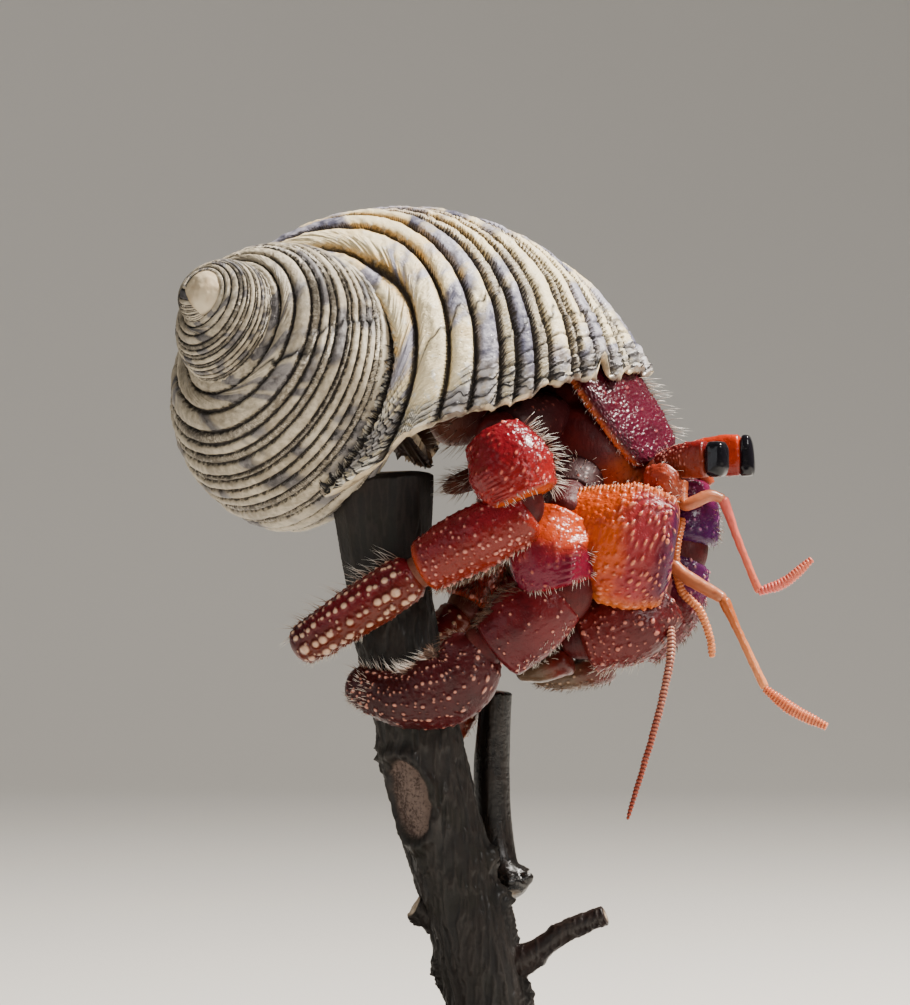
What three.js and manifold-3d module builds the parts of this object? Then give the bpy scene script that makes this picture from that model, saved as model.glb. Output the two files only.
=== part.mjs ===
// Land hermit crab in a turban shell, clinging to a cut branch held by a display stand.
// Millimetres, +Z up.  X runs towards the crab's head, +Y towards its left side.
// The origin is the centre of the stand's underside.
import * as THREE from 'three';
import Module from 'manifold-3d';

const wasm = await Module();
wasm.setup();
const { Manifold, Mesh } = wasm;

const vec = (x, y, z) => new THREE.Vector3(x, y, z);
const rad = THREE.MathUtils.degToRad;

// ---------- driving dimensions ----------
const gap = 0.3;                 // clear space between neighbouring solids

const shellApex = vec(-38.4, -17, 126.1);
const shellAxisTilt = rad(48.3);  // apex direction, away from straight ahead
const shellAxisFall = rad(36.6); // fall of the axis towards the head
const shellScale = 16.1;         // suture radius where the growth angle is zero
const whorlGrowth = Math.log(2.23) / (2 * Math.PI);
const whorl = { radius: 0.555, drop: 3.146, across: 1.564, along: 1.807, baseTuck: 0.75 };
const sutureRound = 12;          // where the suture lies, in degrees round a growth line
const shellWall = 0.075;         // wall thickness as a share of the whorl's half width
const shellFirstAngle = rad(-760);
const lipAngle = rad(128);       // growth angle of the lip at the suture

const shellNubRadius = 3.5;
const core = { start: 10, length: 38, tip: 2, foot: 10 };
const hollowTurn = 230;          // how far the open hollow runs back from the lip, in degrees
const hollowPieces = 4;
const pillarSpread = 0.12;       // radius of the shell's central pillar per mm below the apex
const abdomenTurn = 100;

const standBase = { radius: 44, height: 6, rim: 1.2 };
const branchFootHeight = 18;
const branchFoot = [5.7, 0, branchFootHeight];
const rodRadius = 2.4;

// ---------- closed lofts ----------
// Rings of points joined by quads and closed at both ends by a fan.
function loft(rings) {
  const sides = rings[0].length;
  const points = rings.flat();
  const faces = [];
  for (let i = 0; i < rings.length - 1; i += 1) {
    for (let j = 0; j < sides; j += 1) {
      const a = i * sides + j;
      const b = i * sides + (j + 1) % sides;
      faces.push(a, b, b + sides, a, b + sides, a + sides);
    }
  }
  const lastStart = (rings.length - 1) * sides;
  for (const [ring, start, flip] of [[rings[0], 0, true], [rings.at(-1), lastStart, false]]) {
    const centre = ring.reduce((sum, p) => sum.add(p), vec(0, 0, 0)).divideScalar(sides);
    points.push(centre);
    const hub = points.length - 1;
    for (let j = 0; j < sides; j += 1) {
      const a = start + j;
      const b = start + (j + 1) % sides;
      faces.push(...(flip ? [hub, b, a] : [hub, a, b]));
    }
  }
  const mesh = new Mesh({
    numProp: 3,
    vertProperties: new Float32Array(points.flatMap((p) => [p.x, p.y, p.z])),
    triVerts: new Uint32Array(faces),
  });
  const solid = new Manifold(mesh);
  if (solid.volume() >= 0) return solid;
  for (let i = 0; i < faces.length; i += 3) [faces[i], faces[i + 1]] = [faces[i + 1], faces[i]];
  mesh.triVerts = new Uint32Array(faces);
  return new Manifold(mesh);
}

// Value of an evenly spaced profile at t from 0 to 1, through a smooth curve.
function profileAt(values, t) {
  const last = values.length - 1;
  const at = (i) => values[Math.min(Math.max(i, 0), last)];
  const i = Math.min(Math.floor(t * last), last - 1);
  const u = t * last - i;
  const [a, b, c, d] = [at(i - 1), at(i), at(i + 1), at(i + 2)];
  return b + 0.5 * u * (c - a + u * (2 * a - 5 * b + 4 * c - d + u * (3 * (b - c) + d - a)));
}

// Stations along a limb, closer together at the rounded ends.
function stationsOf(count) {
  return Array.from({ length: count + 1 }, (_, i) => 0.5 - 0.5 * Math.cos(Math.PI * i / count));
}

// A limb piece: a flattened tube along a smooth path.  wide is its full size across `side`,
// deep its full size the other way, and the ends are rounded over the share `round`.
function limbRings({ path, side, wide, deep, round = 0.12, sides = 12, steps = 8, flat = false }, grow = 0) {
  const points = path.map((p) => vec(...p));
  const curve = new THREE.CatmullRomCurve3(points, false, 'centripetal');
  const across = vec(...side);
  return stationsOf(steps).map((t) => {
    const centre = curve.getPointAt(t);
    const forward = curve.getTangentAt(t);
    const right = across.clone().addScaledVector(forward, -across.dot(forward)).normalize();
    const up = forward.clone().cross(right);
    const toEnd = Math.min(t, 1 - t) / round;
    const bulge = toEnd < 1 && !flat ? Math.sqrt(1 - (1 - toEnd) ** 2) * 0.86 + 0.14 : 1;
    const w = profileAt(wide, t) / 2 * bulge + grow;
    const d = profileAt(deep, t) / 2 * bulge + grow;
    const shift = (t - 0.5) * 2 * grow * (Math.abs(t - 0.5) > 0.49 ? 1 : 0);
    centre.addScaledVector(forward, shift);
    return Array.from({ length: sides }, (_, j) => {
      const a = 2 * Math.PI * (j + 0.5) / sides;
      return centre.clone().addScaledVector(right, Math.cos(a) * w).addScaledVector(up, Math.sin(a) * d);
    });
  });
}

const limb = (shape) => (grow) => loft(limbRings(shape, grow));

// ---------- turban shell ----------
const apexDirection = vec(
  -Math.sin(shellAxisTilt) * Math.cos(shellAxisFall),
  -Math.cos(shellAxisTilt),
  Math.sin(shellAxisTilt) * Math.sin(shellAxisFall),
);
const whorlUp = vec(Math.sin(shellAxisFall), 0, Math.cos(shellAxisFall));
const whorlNear = vec(
  Math.cos(shellAxisTilt) * Math.cos(shellAxisFall),
  -Math.sin(shellAxisTilt),
  -Math.cos(shellAxisTilt) * Math.sin(shellAxisFall),
);

// How far each point of a growth line lags behind the suture, in degrees: rows are
// [degrees round the whorl from the suture, lag].
const growthLag = [
  [0, 0], [12, 0], [21, 40], [32, 54], [60, 73], [95, 90], [125, 107], [150, 133], [170, 165], [200, 190],
  [260, 140], [315, 60], [345, 0], [360, 0],
];

function lagAt(round) {
  const i = growthLag.findIndex(([stop]) => stop >= round);
  if (i <= 0) return 0;
  const [[a, lagA], [b, lagB]] = [growthLag[i - 1], growthLag[i]];
  const u = (round - a) / (b - a);
  return rad(lagA + (lagB - lagA) * u * u * (3 - 2 * u) * 0.3 + (lagB - lagA) * u * 0.7);
}

// A point of the whorl's wall: `round` degrees from the suture at growth angle `angle`.
function whorlPoint(angle, round, wall = 0) {
  const turn = rad(85 - round);
  const grown = shellScale * Math.exp(whorlGrowth * angle);
  const pillar = wall > 0 ? 0.1 + wall * 0.5 : -0.12;
  const out = Math.max(whorl.radius + (whorl.across - wall) * Math.cos(turn), pillar) * grown;
  const tuckIn = THREE.MathUtils.smoothstep(round, 85, 180);
  const tuckOut = THREE.MathUtils.smoothstep(round, 230, 330);
  const tuck = whorl.baseTuck * tuckIn * (1 - tuckOut);
  const down = (whorl.drop - (whorl.along - tuck - wall) * Math.sin(turn)) * grown;
  return shellApex.clone()
    .addScaledVector(apexDirection, -down)
    .addScaledVector(whorlUp, Math.cos(angle) * out)
    .addScaledVector(whorlNear, Math.sin(angle) * out);
}

function whorlRing(angle, sides, wall) {
  return Array.from({ length: sides }, (_, j) => {
    const u = j / sides;
    const round = (sutureRound + 360 * (u - 0.13 * Math.sin(2 * Math.PI * u))) % 360;
    return whorlPoint(angle - lagAt(round), round, wall);
  });
}

function whorlTube(from, to, steps, ringAt) {
  return loft(Array.from({ length: steps + 1 }, (_, i) => ringAt(from + (to - from) * i / steps)));
}

// The outermost closed surface of a solid: loose crumbs go and sealed hollows are filled.
const largest = (solid) => solid.decompose().sort((a, b) => b.volume() - a.volume())[0];

// A cone about the axis that fills the middle of the turns, down to the pillar's foot.
function shellCore() {
  const turn = new THREE.Quaternion().setFromUnitVectors(vec(0, 0, -1), apexDirection);
  const top = shellApex.clone().addScaledVector(apexDirection, -core.start);
  const place = new THREE.Matrix4().compose(top, turn, vec(1, 1, 1));
  return Manifold.cylinder(core.length, core.tip, core.foot, 12).transform(place.elements);
}

// The pillar round the shell's axis that the whorls wind about.
function columella(grow) {
  const [start, end] = [8, 76];
  return Manifold.cylinder(end - start, start * pillarSpread + grow, end * pillarSpread + grow, 16)
    .transform(new THREE.Matrix4().makeBasis(whorlUp, whorlNear, apexDirection.clone().negate())
      .setPosition(shellApex.clone().addScaledVector(apexDirection, -start)).toArray());
}

// The whole shell, or with `grow` its wall thickened on both sides, to cut what lies near it.
function buildShell(grow = 0) {
  const quarter = Math.PI / 2;
  const turns = [];
  let end = lipAngle;
  const share = grow / shellScale / 1.15;
  // each quarter turn starts one step early, inside the quarter before it
  while (end > shellFirstAngle) {
    const steps = end > rad(-240) ? 5 : 3;
    const sides = end > rad(-240) ? 20 : 16;
    const last = end === lipAngle ? end + share * 2 : end;
    const start = end - quarter * (1 + 1 / steps);
    turns.push(whorlTube(start, last, steps + 1, (angle) => whorlRing(angle, sides, -share)));
    end -= quarter;
  }
  const nub = Manifold.sphere(shellNubRadius + grow, 16)
    .translate(...shellApex.clone().addScaledVector(apexDirection, -7.4).toArray());
  const filled = largest(Manifold.union([...turns, nub, shellCore()]));
  const hollow = [];
  const deepest = lipAngle - rad(hollowTurn) + share * 3;
  const bite = rad(hollowTurn + 14) / hollowPieces;
  for (let i = 0; i < hollowPieces; i += 1) {
    const start = deepest + bite * (i - (i > 0 ? 0.25 : 0));
    hollow.push(whorlTube(start, deepest + bite * (i + 1), 5,
      (angle) => whorlRing(angle, 18, shellWall + share)));
  }
  const open = Manifold.union(hollow).subtract(columella(grow));
  return largest(largest(filled.subtract(open)).asOriginal().simplify(0.25));
}

// The shell without its hollow, to stop the branch at the shell's mouth.
function shellMass(grow) {
  const share = grow / shellScale;
  return Manifold.union([0, 1, 2].map((i) => (
    whorlTube(lipAngle - (i + 1) * Math.PI / 2, lipAngle - i * Math.PI / 2 + share, 5,
      (angle) => whorlRing(angle, 18, -share)))));
}

// The soft abdomen: the same whorl, drawn in from the wall and tapering up the spire.
function buildAbdomen() {
  const rings = [];
  const steps = 7;
  for (let i = 0; i <= steps; i += 1) {
    const t = i / steps;
    const shrink = 0.72 - 0.34 * Math.sin(Math.PI * Math.min(t * 1.1 + 0.08, 1));
    rings.push(whorlRing(lipAngle - rad(hollowTurn - 16 - abdomenTurn * t), 10, shrink));
  }
  return loft(rings);
}

// ---------- the crab's own frame ----------
const headFront = vec(31, 1, 101.2);             // middle of the shield's front edge
const bodyForward = vec(0.58, -0.04, -0.81).normalize();
const leftGuess = vec(0.31, 0.87, 0.375);
const bodyLeft = leftGuess.clone().addScaledVector(bodyForward, -leftGuess.dot(bodyForward)).normalize();
const bodyUp = bodyForward.clone().cross(bodyLeft);

function onBody(forward, left, up) {
  return headFront.clone()
    .addScaledVector(bodyForward, forward)
    .addScaledVector(bodyLeft, left)
    .addScaledVector(bodyUp, up)
    .toArray();
}

// ---------- pieces, in the order in which later ones give way to earlier ones ----------
const colours = {
  shell: 0xb9b2a0, crimson: 0x8e1a20, purple: 0x6d1d3a, orange: 0xc4561c, flesh: 0xc98a68,
  eye: 0x0c0b0d, feeler: 0xd98e5c, bark: 0x3a2c22, stand: 0x232427,
};
const depthwise = [0, 1, 0];
const sideways = [1, 0, 0.2];

const pieces = [];
function add(name, colour, build, roughness = 0.45) {
  pieces.push({ name, colour, build, roughness });
}

add('shell', colours.shell, (grow) => buildShell(grow), 0.7);

// stand and perch
add('stand_base', colours.stand, (grow) => {
  const { radius, height, rim } = standBase;
  const low = Manifold.cylinder(height - rim + grow, radius + grow, radius + grow, 36);
  const top = Manifold.cylinder(rim, radius + grow, radius - rim + grow, 36);
  return low.add(top.translate(0, 0, height - rim + grow));
}, 0.6);
add('stand_rod', colours.stand, (grow) => {
  const foot = standBase.height + gap / 6;
  return Manifold.cylinder(branchFootHeight - foot - gap / 6, rodRadius + grow, rodRadius + grow, 16)
    .translate(branchFoot[0], branchFoot[1], foot);
}, 0.4);
add('perch_branch', colours.bark, limb({
  path: [branchFoot, [2.9, 0, 30.2], [-1.1, 0, 44.5], [-4.6, 0, 58.7], [-9.2, 0, 80.2], [-10.6, 0, 98.5]],
  side: depthwise, wide: [11.6, 11.4, 11.4, 11.4, 11, 12], deep: [11.8, 11.4, 11.8, 11.8, 12.4, 15.6],
  flat: true, sides: 12, steps: 8,
}), 0.8);
add('perch_shoot', colours.bark, limb({
  path: [[7.6, 4.2, 37.5], [6.1, 7, 42.6], [5.3, 7.6, 55], [6.0, 7.4, 67]],
  side: depthwise, wide: [5, 5.2, 5, 4.4], deep: [6, 5.4, 5.2, 4.6], flat: true, sides: 8, steps: 5,
}), 0.5);
add('perch_twig', colours.bark, limb({
  path: [[7.5, 0, 27.6], [11, -1, 29.6], [16.1, -2, 33.2], [21.5, -3, 35.4]],
  side: depthwise, wide: [5.4, 3.6, 3.2, 2.8], deep: [5.6, 3.4, 3.2, 2.9], flat: true, sides: 8, steps: 4,
}), 0.8);
add('perch_stub', colours.bark, limb({
  path: [[-2, -0.5, 34.6], [-5.9, -1, 36.6]], side: depthwise,
  wide: [4, 3.4], deep: [5.4, 3.6], flat: true, sides: 8, steps: 2,
}), 0.8);

// body
add('carapace_shield', colours.purple, limb({
  path: [onBody(-19, 0, -2.2), onBody(-10, 0, -2.0), onBody(-0.2, 0, -2.3)],
  side: bodyLeft.toArray(), wide: [13, 15.6, 16.2, 15.6, 12], deep: [4.2, 4.6, 4.6, 4.4, 3.6], round: 0.1,
  sides: 14, steps: 7,
}));
add('thorax', colours.crimson, limb({
  path: [onBody(-19, 0, -8.2), onBody(-10, 0, -7.9), onBody(-1.8, 0, -7.2)],
  side: bodyLeft.toArray(), wide: [12, 14, 14, 13, 9.5], deep: [9, 10.4, 10.4, 9.6, 8], round: 0.14,
  sides: 14, steps: 7,
}));
add('carapace_rear', colours.crimson, limb({
  path: [onBody(-31, -1.5, -8.5), onBody(-25, -0.5, -6.5), onBody(-19.6, 0, -5.6)],
  side: bodyLeft.toArray(), wide: [12.5, 15.4, 14], deep: [10.5, 12.5, 11.4], round: 0.14,
  sides: 12, steps: 5,
}));
add('abdomen', colours.flesh, () => buildAbdomen(), 0.5);

// eyes
add('eyestalk_right', colours.crimson, limb({
  path: [[28.8, -3.2, 99.2], [32.4, -5.6, 100], [35.3, -7.4, 100.3]],
  side: [0.3, 0.95, 0], wide: [2.6, 3, 3.2, 3.2], deep: [3.2, 4.4, 5.2, 5.2],
  round: 0.1, sides: 10, steps: 5,
}));
add('cornea_right', colours.eye, limb({
  path: [[35.6, -7.6, 100.2], [37, -8.4, 100.2], [38.4, -9.2, 100.2]],
  side: [0.3, 0.95, 0], wide: [3, 3, 2.6], deep: [4.8, 4.9, 4.4], round: 0.3, sides: 10, steps: 5,
}), 0.15);
add('eyestalk_left', colours.orange, limb({
  path: [[31.2, 1.6, 99.8], [35.6, 0.4, 100.6], [40.4, -0.6, 100.9]],
  side: [0.2, 0.95, 0], wide: [2.6, 3, 3.2, 3.2], deep: [3.2, 4.8, 5.9, 6], round: 0.1, sides: 10, steps: 5,
}));
add('cornea_left', colours.eye, limb({
  path: [[40.6, -0.6, 100.8], [41.6, -0.8, 100.8], [42.7, -1, 100.9]],
  side: [0.2, 0.95, 0], wide: [3, 3, 2.6], deep: [5.8, 5.8, 5], round: 0.3, sides: 10, steps: 5,
}), 0.15);

// right (near) claw
add('cheliped_right_carpus', colours.orange, limb({
  path: [[14.2, -8, 91.4], [22.4, -9.6, 88.5], [30.9, -9.6, 87]],
  side: depthwise, wide: [7, 9.2, 9.6, 8.4], deep: [9, 14.5, 17.2, 14.8], round: 0.1, sides: 12, steps: 7,
}));
add('cheliped_right_palm', colours.crimson, limb({
  path: [[30, -6, 81], [25.2, -7.6, 77.2], [17.8, -6.8, 74.6]],
  side: depthwise, wide: [6, 7.6, 7], deep: [8.4, 11, 9.6], round: 0.12, sides: 12, steps: 6,
}));
add('cheliped_right_finger', colours.crimson, limb({
  path: [[16.6, -6.4, 72], [12.8, -5.6, 70.4], [8.8, -4, 69.8]],
  side: depthwise, wide: [5.4, 4.4, 2.6], deep: [4.4, 3.4, 2.2], round: 0.16, sides: 10, steps: 5,
}));
add('cheliped_right_dactyl', colours.crimson, limb({
  path: [[16.8, -6.6, 77], [12.4, -5.6, 74.6], [8.6, -4, 72.6]],
  side: depthwise, wide: [5.2, 4.4, 2.6], deep: [4.6, 3.6, 2.2], round: 0.16, sides: 10, steps: 5,
}));
add('cheliped_right_merus', colours.crimson, limb({
  path: [[22.6, 0.4, 95], [18.2, -1.6, 92.6], [14.2, -3.2, 90.4]],
  side: depthwise, wide: [5, 5.6, 5], deep: [7, 8.4, 7.4], round: 0.14, sides: 12, steps: 5,
}));

// left (far) claw, the larger one
add('cheliped_left_merus', colours.purple, limb({
  path: [[25.5, 8, 96.5], [29, 8.4, 97], [32.6, 6.6, 97.8]],
  side: depthwise, wide: [6, 6.6, 5.6], deep: [6.6, 7.4, 6.4], round: 0.14, sides: 10, steps: 4,
}));
add('cheliped_left_carpus', colours.purple, limb({
  path: [[32.6, 4, 97.2], [33.4, 3.6, 92.4], [33.2, 2.8, 87.6]],
  side: depthwise, wide: [6.4, 8, 7.6], deep: [6.4, 8.8, 8.6], round: 0.14, sides: 12, steps: 6,
}));
add('cheliped_left_palm', colours.purple, limb({
  path: [[32.4, 2.2, 86.8], [29.6, 1.4, 80.4], [24, 0.4, 74.6]],
  side: depthwise, wide: [6.6, 8.4, 8], deep: [9, 12.6, 11.6], round: 0.1, sides: 14, steps: 7,
}));
add('cheliped_left_finger', colours.crimson, limb({
  path: [[22.6, 0, 71.4], [16.6, -0.6, 69.2], [11, -0.4, 69]],
  side: depthwise, wide: [6.4, 5.4, 2.8], deep: [5.4, 4, 2.2], round: 0.14, sides: 10, steps: 5,
}));
add('cheliped_left_dactyl', colours.crimson, limb({
  path: [[20.6, 0.4, 77], [15.6, 0, 74.4], [10.6, 0, 71.8]],
  side: depthwise, wide: [6, 5, 2.8], deep: [5.4, 4, 2.2], round: 0.14, sides: 10, steps: 5,
}));

// walking legs: merus, carpus, propodus and dactyl of each
const walkingLegs = {
  leg2_right: {
    merus: {
      path: [[18, 0.6, 100.2], [17.2, -3.8, 96.6], [16.4, -6.4, 94.6]],
      side: sideways, wide: [7, 8, 7], deep: [6, 7.4, 6.6],
    },
    carpus: {
      path: [[15.6, -10.6, 92.6], [13.4, -12.8, 87.4], [14.6, -13, 81.8]],
      side: depthwise, wide: [6, 8, 7.4], deep: [7.4, 11.6, 10.6],
    },
    propodus: {
      path: [[15.6, -12.8, 81.2], [11, -12.8, 77.6], [5.4, -11.6, 73.2]],
      side: depthwise, wide: [6, 7.4, 6.6], deep: [8, 10.4, 9.4],
    },
    dactyl: {
      path: [[2.6, -11, 75.4], [1, -10.8, 69.6], [-6.4, -9.4, 66.4], [-15.2, -5.2, 68.6]],
      side: depthwise, wide: [5, 6, 5.4, 4.2], deep: [7.4, 10.8, 7.6, 5.4],
    },
  },
  leg3_right: {
    merus: {
      path: [[14.2, 0.4, 106.4], [9.6, -6, 105.4], [6.4, -9.4, 104]],
      side: sideways, wide: [7, 8.4, 8], deep: [6.6, 8, 7.6],
    },
    carpus: {
      path: [[5.2, -12.6, 103.6], [7.6, -15, 99.2], [9.8, -16, 94.2]],
      side: depthwise, wide: [7.4, 9, 7.8], deep: [8.6, 11.8, 9.8],
    },
    propodus: {
      path: [[11, -16, 92.8], [3.6, -15, 89.2], [-5, -12.4, 84.6]],
      side: depthwise, wide: [6, 6.8, 5.8], deep: [7.4, 8.8, 7.4],
    },
    dactyl: {
      path: [[-5, -12.2, 84.4], [-13.6, -10.4, 78.9], [-22.6, -6.2, 73]],
      side: depthwise, wide: [5, 5.6, 5.4, 4.2], deep: [6.2, 7, 6.6, 5.2],
    },
  },
  leg2_left: {
    merus: {
      path: [[22.4, 10.4, 103], [19.4, 14.6, 98], [15.6, 17, 93]],
      side: [0.9, 0.2, 0], wide: [7, 8, 7], deep: [6.4, 7.6, 6.6],
    },
    carpus: {
      path: [[14.8, 17.2, 92], [12, 17.2, 87.6], [10.4, 16, 83.4]],
      side: depthwise, wide: [6, 7.4, 6.6], deep: [7, 9, 8],
    },
    propodus: {
      path: [[9.8, 15.6, 82.4], [6.6, 13.8, 77], [3.4, 12, 71.2]],
      side: depthwise, wide: [6, 6.6, 5.6], deep: [7, 8, 6.8],
    },
    dactyl: {
      path: [[2.6, 11.6, 70], [0.8, 10, 64.6], [-1.8, 8.8, 60], [-5.6, 7.8, 57]],
      side: depthwise, wide: [4.6, 4.8, 4.2, 3], deep: [5.8, 6, 5, 3.4],
    },
  },
  leg3_left: {
    merus: {
      path: [[17, 11, 109.6], [13.4, 15.4, 105], [9.6, 17, 100.6]],
      side: [0.9, 0.2, 0], wide: [7, 8, 7], deep: [6.4, 7.6, 6.6],
    },
    carpus: {
      path: [[9, 17, 99.8], [7.4, 16.6, 95.4], [6.4, 15.6, 91.2]],
      side: depthwise, wide: [6, 7, 6.6], deep: [6.8, 8, 7],
    },
    propodus: {
      path: [[6, 15.2, 90.2], [4, 13.8, 85], [1.4, 12, 79.4]],
      side: depthwise, wide: [5.6, 6.2, 5.4], deep: [6.4, 7.2, 6.2],
    },
    dactyl: {
      path: [[0.8, 11.4, 78.4], [-3, 9.6, 74], [-8, 8.2, 71.6], [-12.6, 6.6, 71]],
      side: depthwise, wide: [4.6, 4.6, 4, 3], deep: [5.4, 5.4, 4.6, 3.2],
    },
  },
};
for (const [leg, segments] of Object.entries(walkingLegs)) {
  for (const [segment, shape] of Object.entries(segments)) {
    const steps = segment === 'dactyl' ? 8 : 6;
    add(`${leg}_${segment}`, colours.crimson, limb({ ...shape, round: 0.12, sides: 10, steps }));
  }
}

// small fourth legs, folded at the shell's mouth
add('leg4_right', colours.flesh, limb({
  path: [[10.6, 3, 103.4], [4.6, 0.6, 98.6], [-1.8, -1.6, 95.8]],
  side: depthwise, wide: [3.6, 3.4, 2.6], deep: [4.2, 3.8, 2.8], sides: 8, steps: 5,
}));
add('leg4_left', colours.flesh, limb({
  path: [[12, 9, 108], [6.6, 10, 106], [1.6, 9.4, 102.6]],
  side: depthwise, wide: [3.6, 3.4, 2.6], deep: [4.2, 3.8, 2.8], sides: 8, steps: 5,
}));

// mouthparts
for (const [sideName, sign] of [['right', -1], ['left', 1]]) {
  add(`maxilliped_${sideName}`, colours.crimson, limb({
    path: [onBody(-2.5, 2.8 * sign, -10.4), onBody(2.4, 2.6 * sign, -9.6), onBody(6.2, 2.2 * sign, -9)],
    side: bodyLeft.toArray(), wide: [3.6, 4, 2.4], deep: [3.8, 3.6, 2], sides: 8, steps: 5,
  }));
}

// antennae: a stout base with its scale, then the beaded whip
add('antenna_base_right', colours.orange, limb({
  path: [[27.4, -5.6, 97.4], [29.6, -7, 97.4], [31, -7.2, 94.4]],
  side: depthwise, wide: [3.2, 3.2, 2], deep: [3, 3.6, 2.2], sides: 8, steps: 5,
}));
add('antenna_base_left', colours.orange, limb({
  path: [[33, 4.6, 98.6], [35.2, 5, 98.4], [36.6, 4.8, 96.4]],
  side: depthwise, wide: [3, 3, 2], deep: [2.6, 3, 2], sides: 8, steps: 5,
}));
add('antenna_right', colours.feeler, limb({
  path: [
    [30.2, -4.4, 92.4], [28.8, -4.6, 86], [29, -4.8, 82],
    [30.5, -9.4, 74.7], [29.1, -11, 66.3], [24.2, -12, 49.5],
  ],
  side: depthwise, wide: [1.3, 1.2, 1.1, 0.9, 0.6], deep: [1.3, 1.2, 1.1, 0.9, 0.6],
  round: 0.02, sides: 6, steps: 11,
}));
add('antenna_left', colours.feeler, limb({
  path: [
    [32.4, -2.4, 92], [31.4, -3.6, 86.4], [32.2, -3.8, 81.6],
    [34.6, -4, 79], [36.2, -3.6, 75], [36.6, -3.2, 72],
  ],
  side: depthwise, wide: [1.2, 1.1, 1.1, 0.9], deep: [1.2, 1.2, 1.2, 1], round: 0.02, sides: 6, steps: 9,
}));

// antennules: base, middle length and flagellum
const antennules = {
  right: {
    base: {
      path: [[32, -2.2, 96.4], [30.6, -2.6, 90], [31, -3.4, 85.4], [37.6, -7, 80.8]],
      size: [1.5, 1.7, 2, 1.7],
    },
    middle: { path: [[38.1, -7.2, 80.2], [40.6, -8, 74.6], [43.6, -9, 68.2]], size: [1.5, 1.5, 1.4] },
    flagellum: { path: [[44, -9.2, 67.5], [47.4, -10, 65], [52.4, -11, 62.5]], size: [1.5, 1.7, 1.2] },
  },
  left: {
    base: {
      path: [[32.6, -0.6, 97.2], [32.6, -2.4, 93.8], [36.4, -2.2, 95.1], [37.9, -2, 94.9]],
      size: [1.5, 1.7, 1.8, 1.4],
    },
    middle: { path: [[38.3, -2, 94.3], [40.6, -2, 88], [43.1, -2, 81.8]], size: [1.4, 1.4, 1.3] },
    flagellum: { path: [[43.5, -2, 81], [47, -2.4, 82.8], [50.9, -2.6, 86.1]], size: [1.4, 1.5, 1] },
  },
};
for (const [sideName, lengths] of Object.entries(antennules)) {
  for (const [length, { path, size }] of Object.entries(lengths)) {
    add(`antennule_${sideName}_${length}`, colours.feeler, limb({
      path, side: depthwise, wide: size, deep: size, round: 0.06, sides: 6, steps: 5,
    }));
  }
}

// ---------- assembly ----------
const overlaps = (a, b) => [0, 1, 2].every((k) => a.min[k] < b.max[k] && b.min[k] < a.max[k]);

const grown = pieces.map((piece) => piece.build(piece.name === 'shell' ? gap * 1.6 : gap));
const branchStop = shellMass(gap * 1.6);
const group = new THREE.Group();
const finished = [];
for (const [index, piece] of pieces.entries()) {
  let solid = piece.build(0);
  const near = [...Array(index).keys()].filter((k) => overlaps(solid.boundingBox(), grown[k].boundingBox()));
  for (const k of near) solid = solid.subtract(grown[k]);
  if (piece.name === 'perch_branch') solid = solid.subtract(branchStop);
  if (index > 0) solid = largest(largest(solid).simplify(0.1));
  for (const k of near) solid = solid.subtract(finished[k]);
  solid = largest(solid);
  finished.push(solid);
  const mesh = solid.getMesh();
  const geometry = new THREE.BufferGeometry();
  geometry.setAttribute('position', new THREE.BufferAttribute(new Float32Array(mesh.vertProperties), 3));
  geometry.setIndex(new THREE.BufferAttribute(new Uint32Array(mesh.triVerts), 1));
  const material = new THREE.MeshStandardMaterial({ color: piece.colour, roughness: piece.roughness });
  const node = new THREE.Mesh(geometry, material);
  node.name = piece.name;
  group.add(node);
}

export default group;
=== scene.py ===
# Hermit crab in a turban shell on a cut branch, with its stand.  Shapes are worked out in
# millimetres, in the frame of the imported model, and written into the meshes in metres.
import math

import bpy
import numpy as np
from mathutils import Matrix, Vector
from mathutils.bvhtree import BVHTree


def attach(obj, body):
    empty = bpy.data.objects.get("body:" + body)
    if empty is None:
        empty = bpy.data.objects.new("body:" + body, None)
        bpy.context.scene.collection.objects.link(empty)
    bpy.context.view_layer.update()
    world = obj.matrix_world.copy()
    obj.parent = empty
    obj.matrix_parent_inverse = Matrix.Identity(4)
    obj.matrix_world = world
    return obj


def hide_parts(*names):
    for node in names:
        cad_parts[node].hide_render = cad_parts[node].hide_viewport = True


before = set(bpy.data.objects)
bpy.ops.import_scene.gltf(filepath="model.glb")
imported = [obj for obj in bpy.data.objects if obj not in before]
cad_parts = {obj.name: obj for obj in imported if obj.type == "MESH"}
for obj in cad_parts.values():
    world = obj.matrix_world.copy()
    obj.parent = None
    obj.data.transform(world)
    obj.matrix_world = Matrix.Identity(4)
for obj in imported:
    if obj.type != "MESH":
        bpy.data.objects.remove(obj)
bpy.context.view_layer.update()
millimetre = 0.001
noTriangles = np.empty((0, 3), int)
triangleCount = {}


def smoothStep(value, low, high):
    # 0 below low, 1 above high, and 3t^2 - 2t^3 between them
    t = np.clip((value - low) / (high - low), 0.0, 1.0)
    return t * t * (3.0 - 2.0 * t)


def scatter(i, j, k, seed):
    # one repeatable random number from 0 to 1 for each set of whole numbers: mixed and folded bits
    n = (i * 374761393 + j * 668265263 + k * 1440662683 + seed * 144269504) & 0xffffffff
    n = ((n ^ (n >> 13)) * 1274126177) & 0xffffffff
    n = ((n ^ (n >> 15)) * 2246822519) & 0xffffffff
    return (n ^ (n >> 16)) / 4294967295.0


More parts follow.
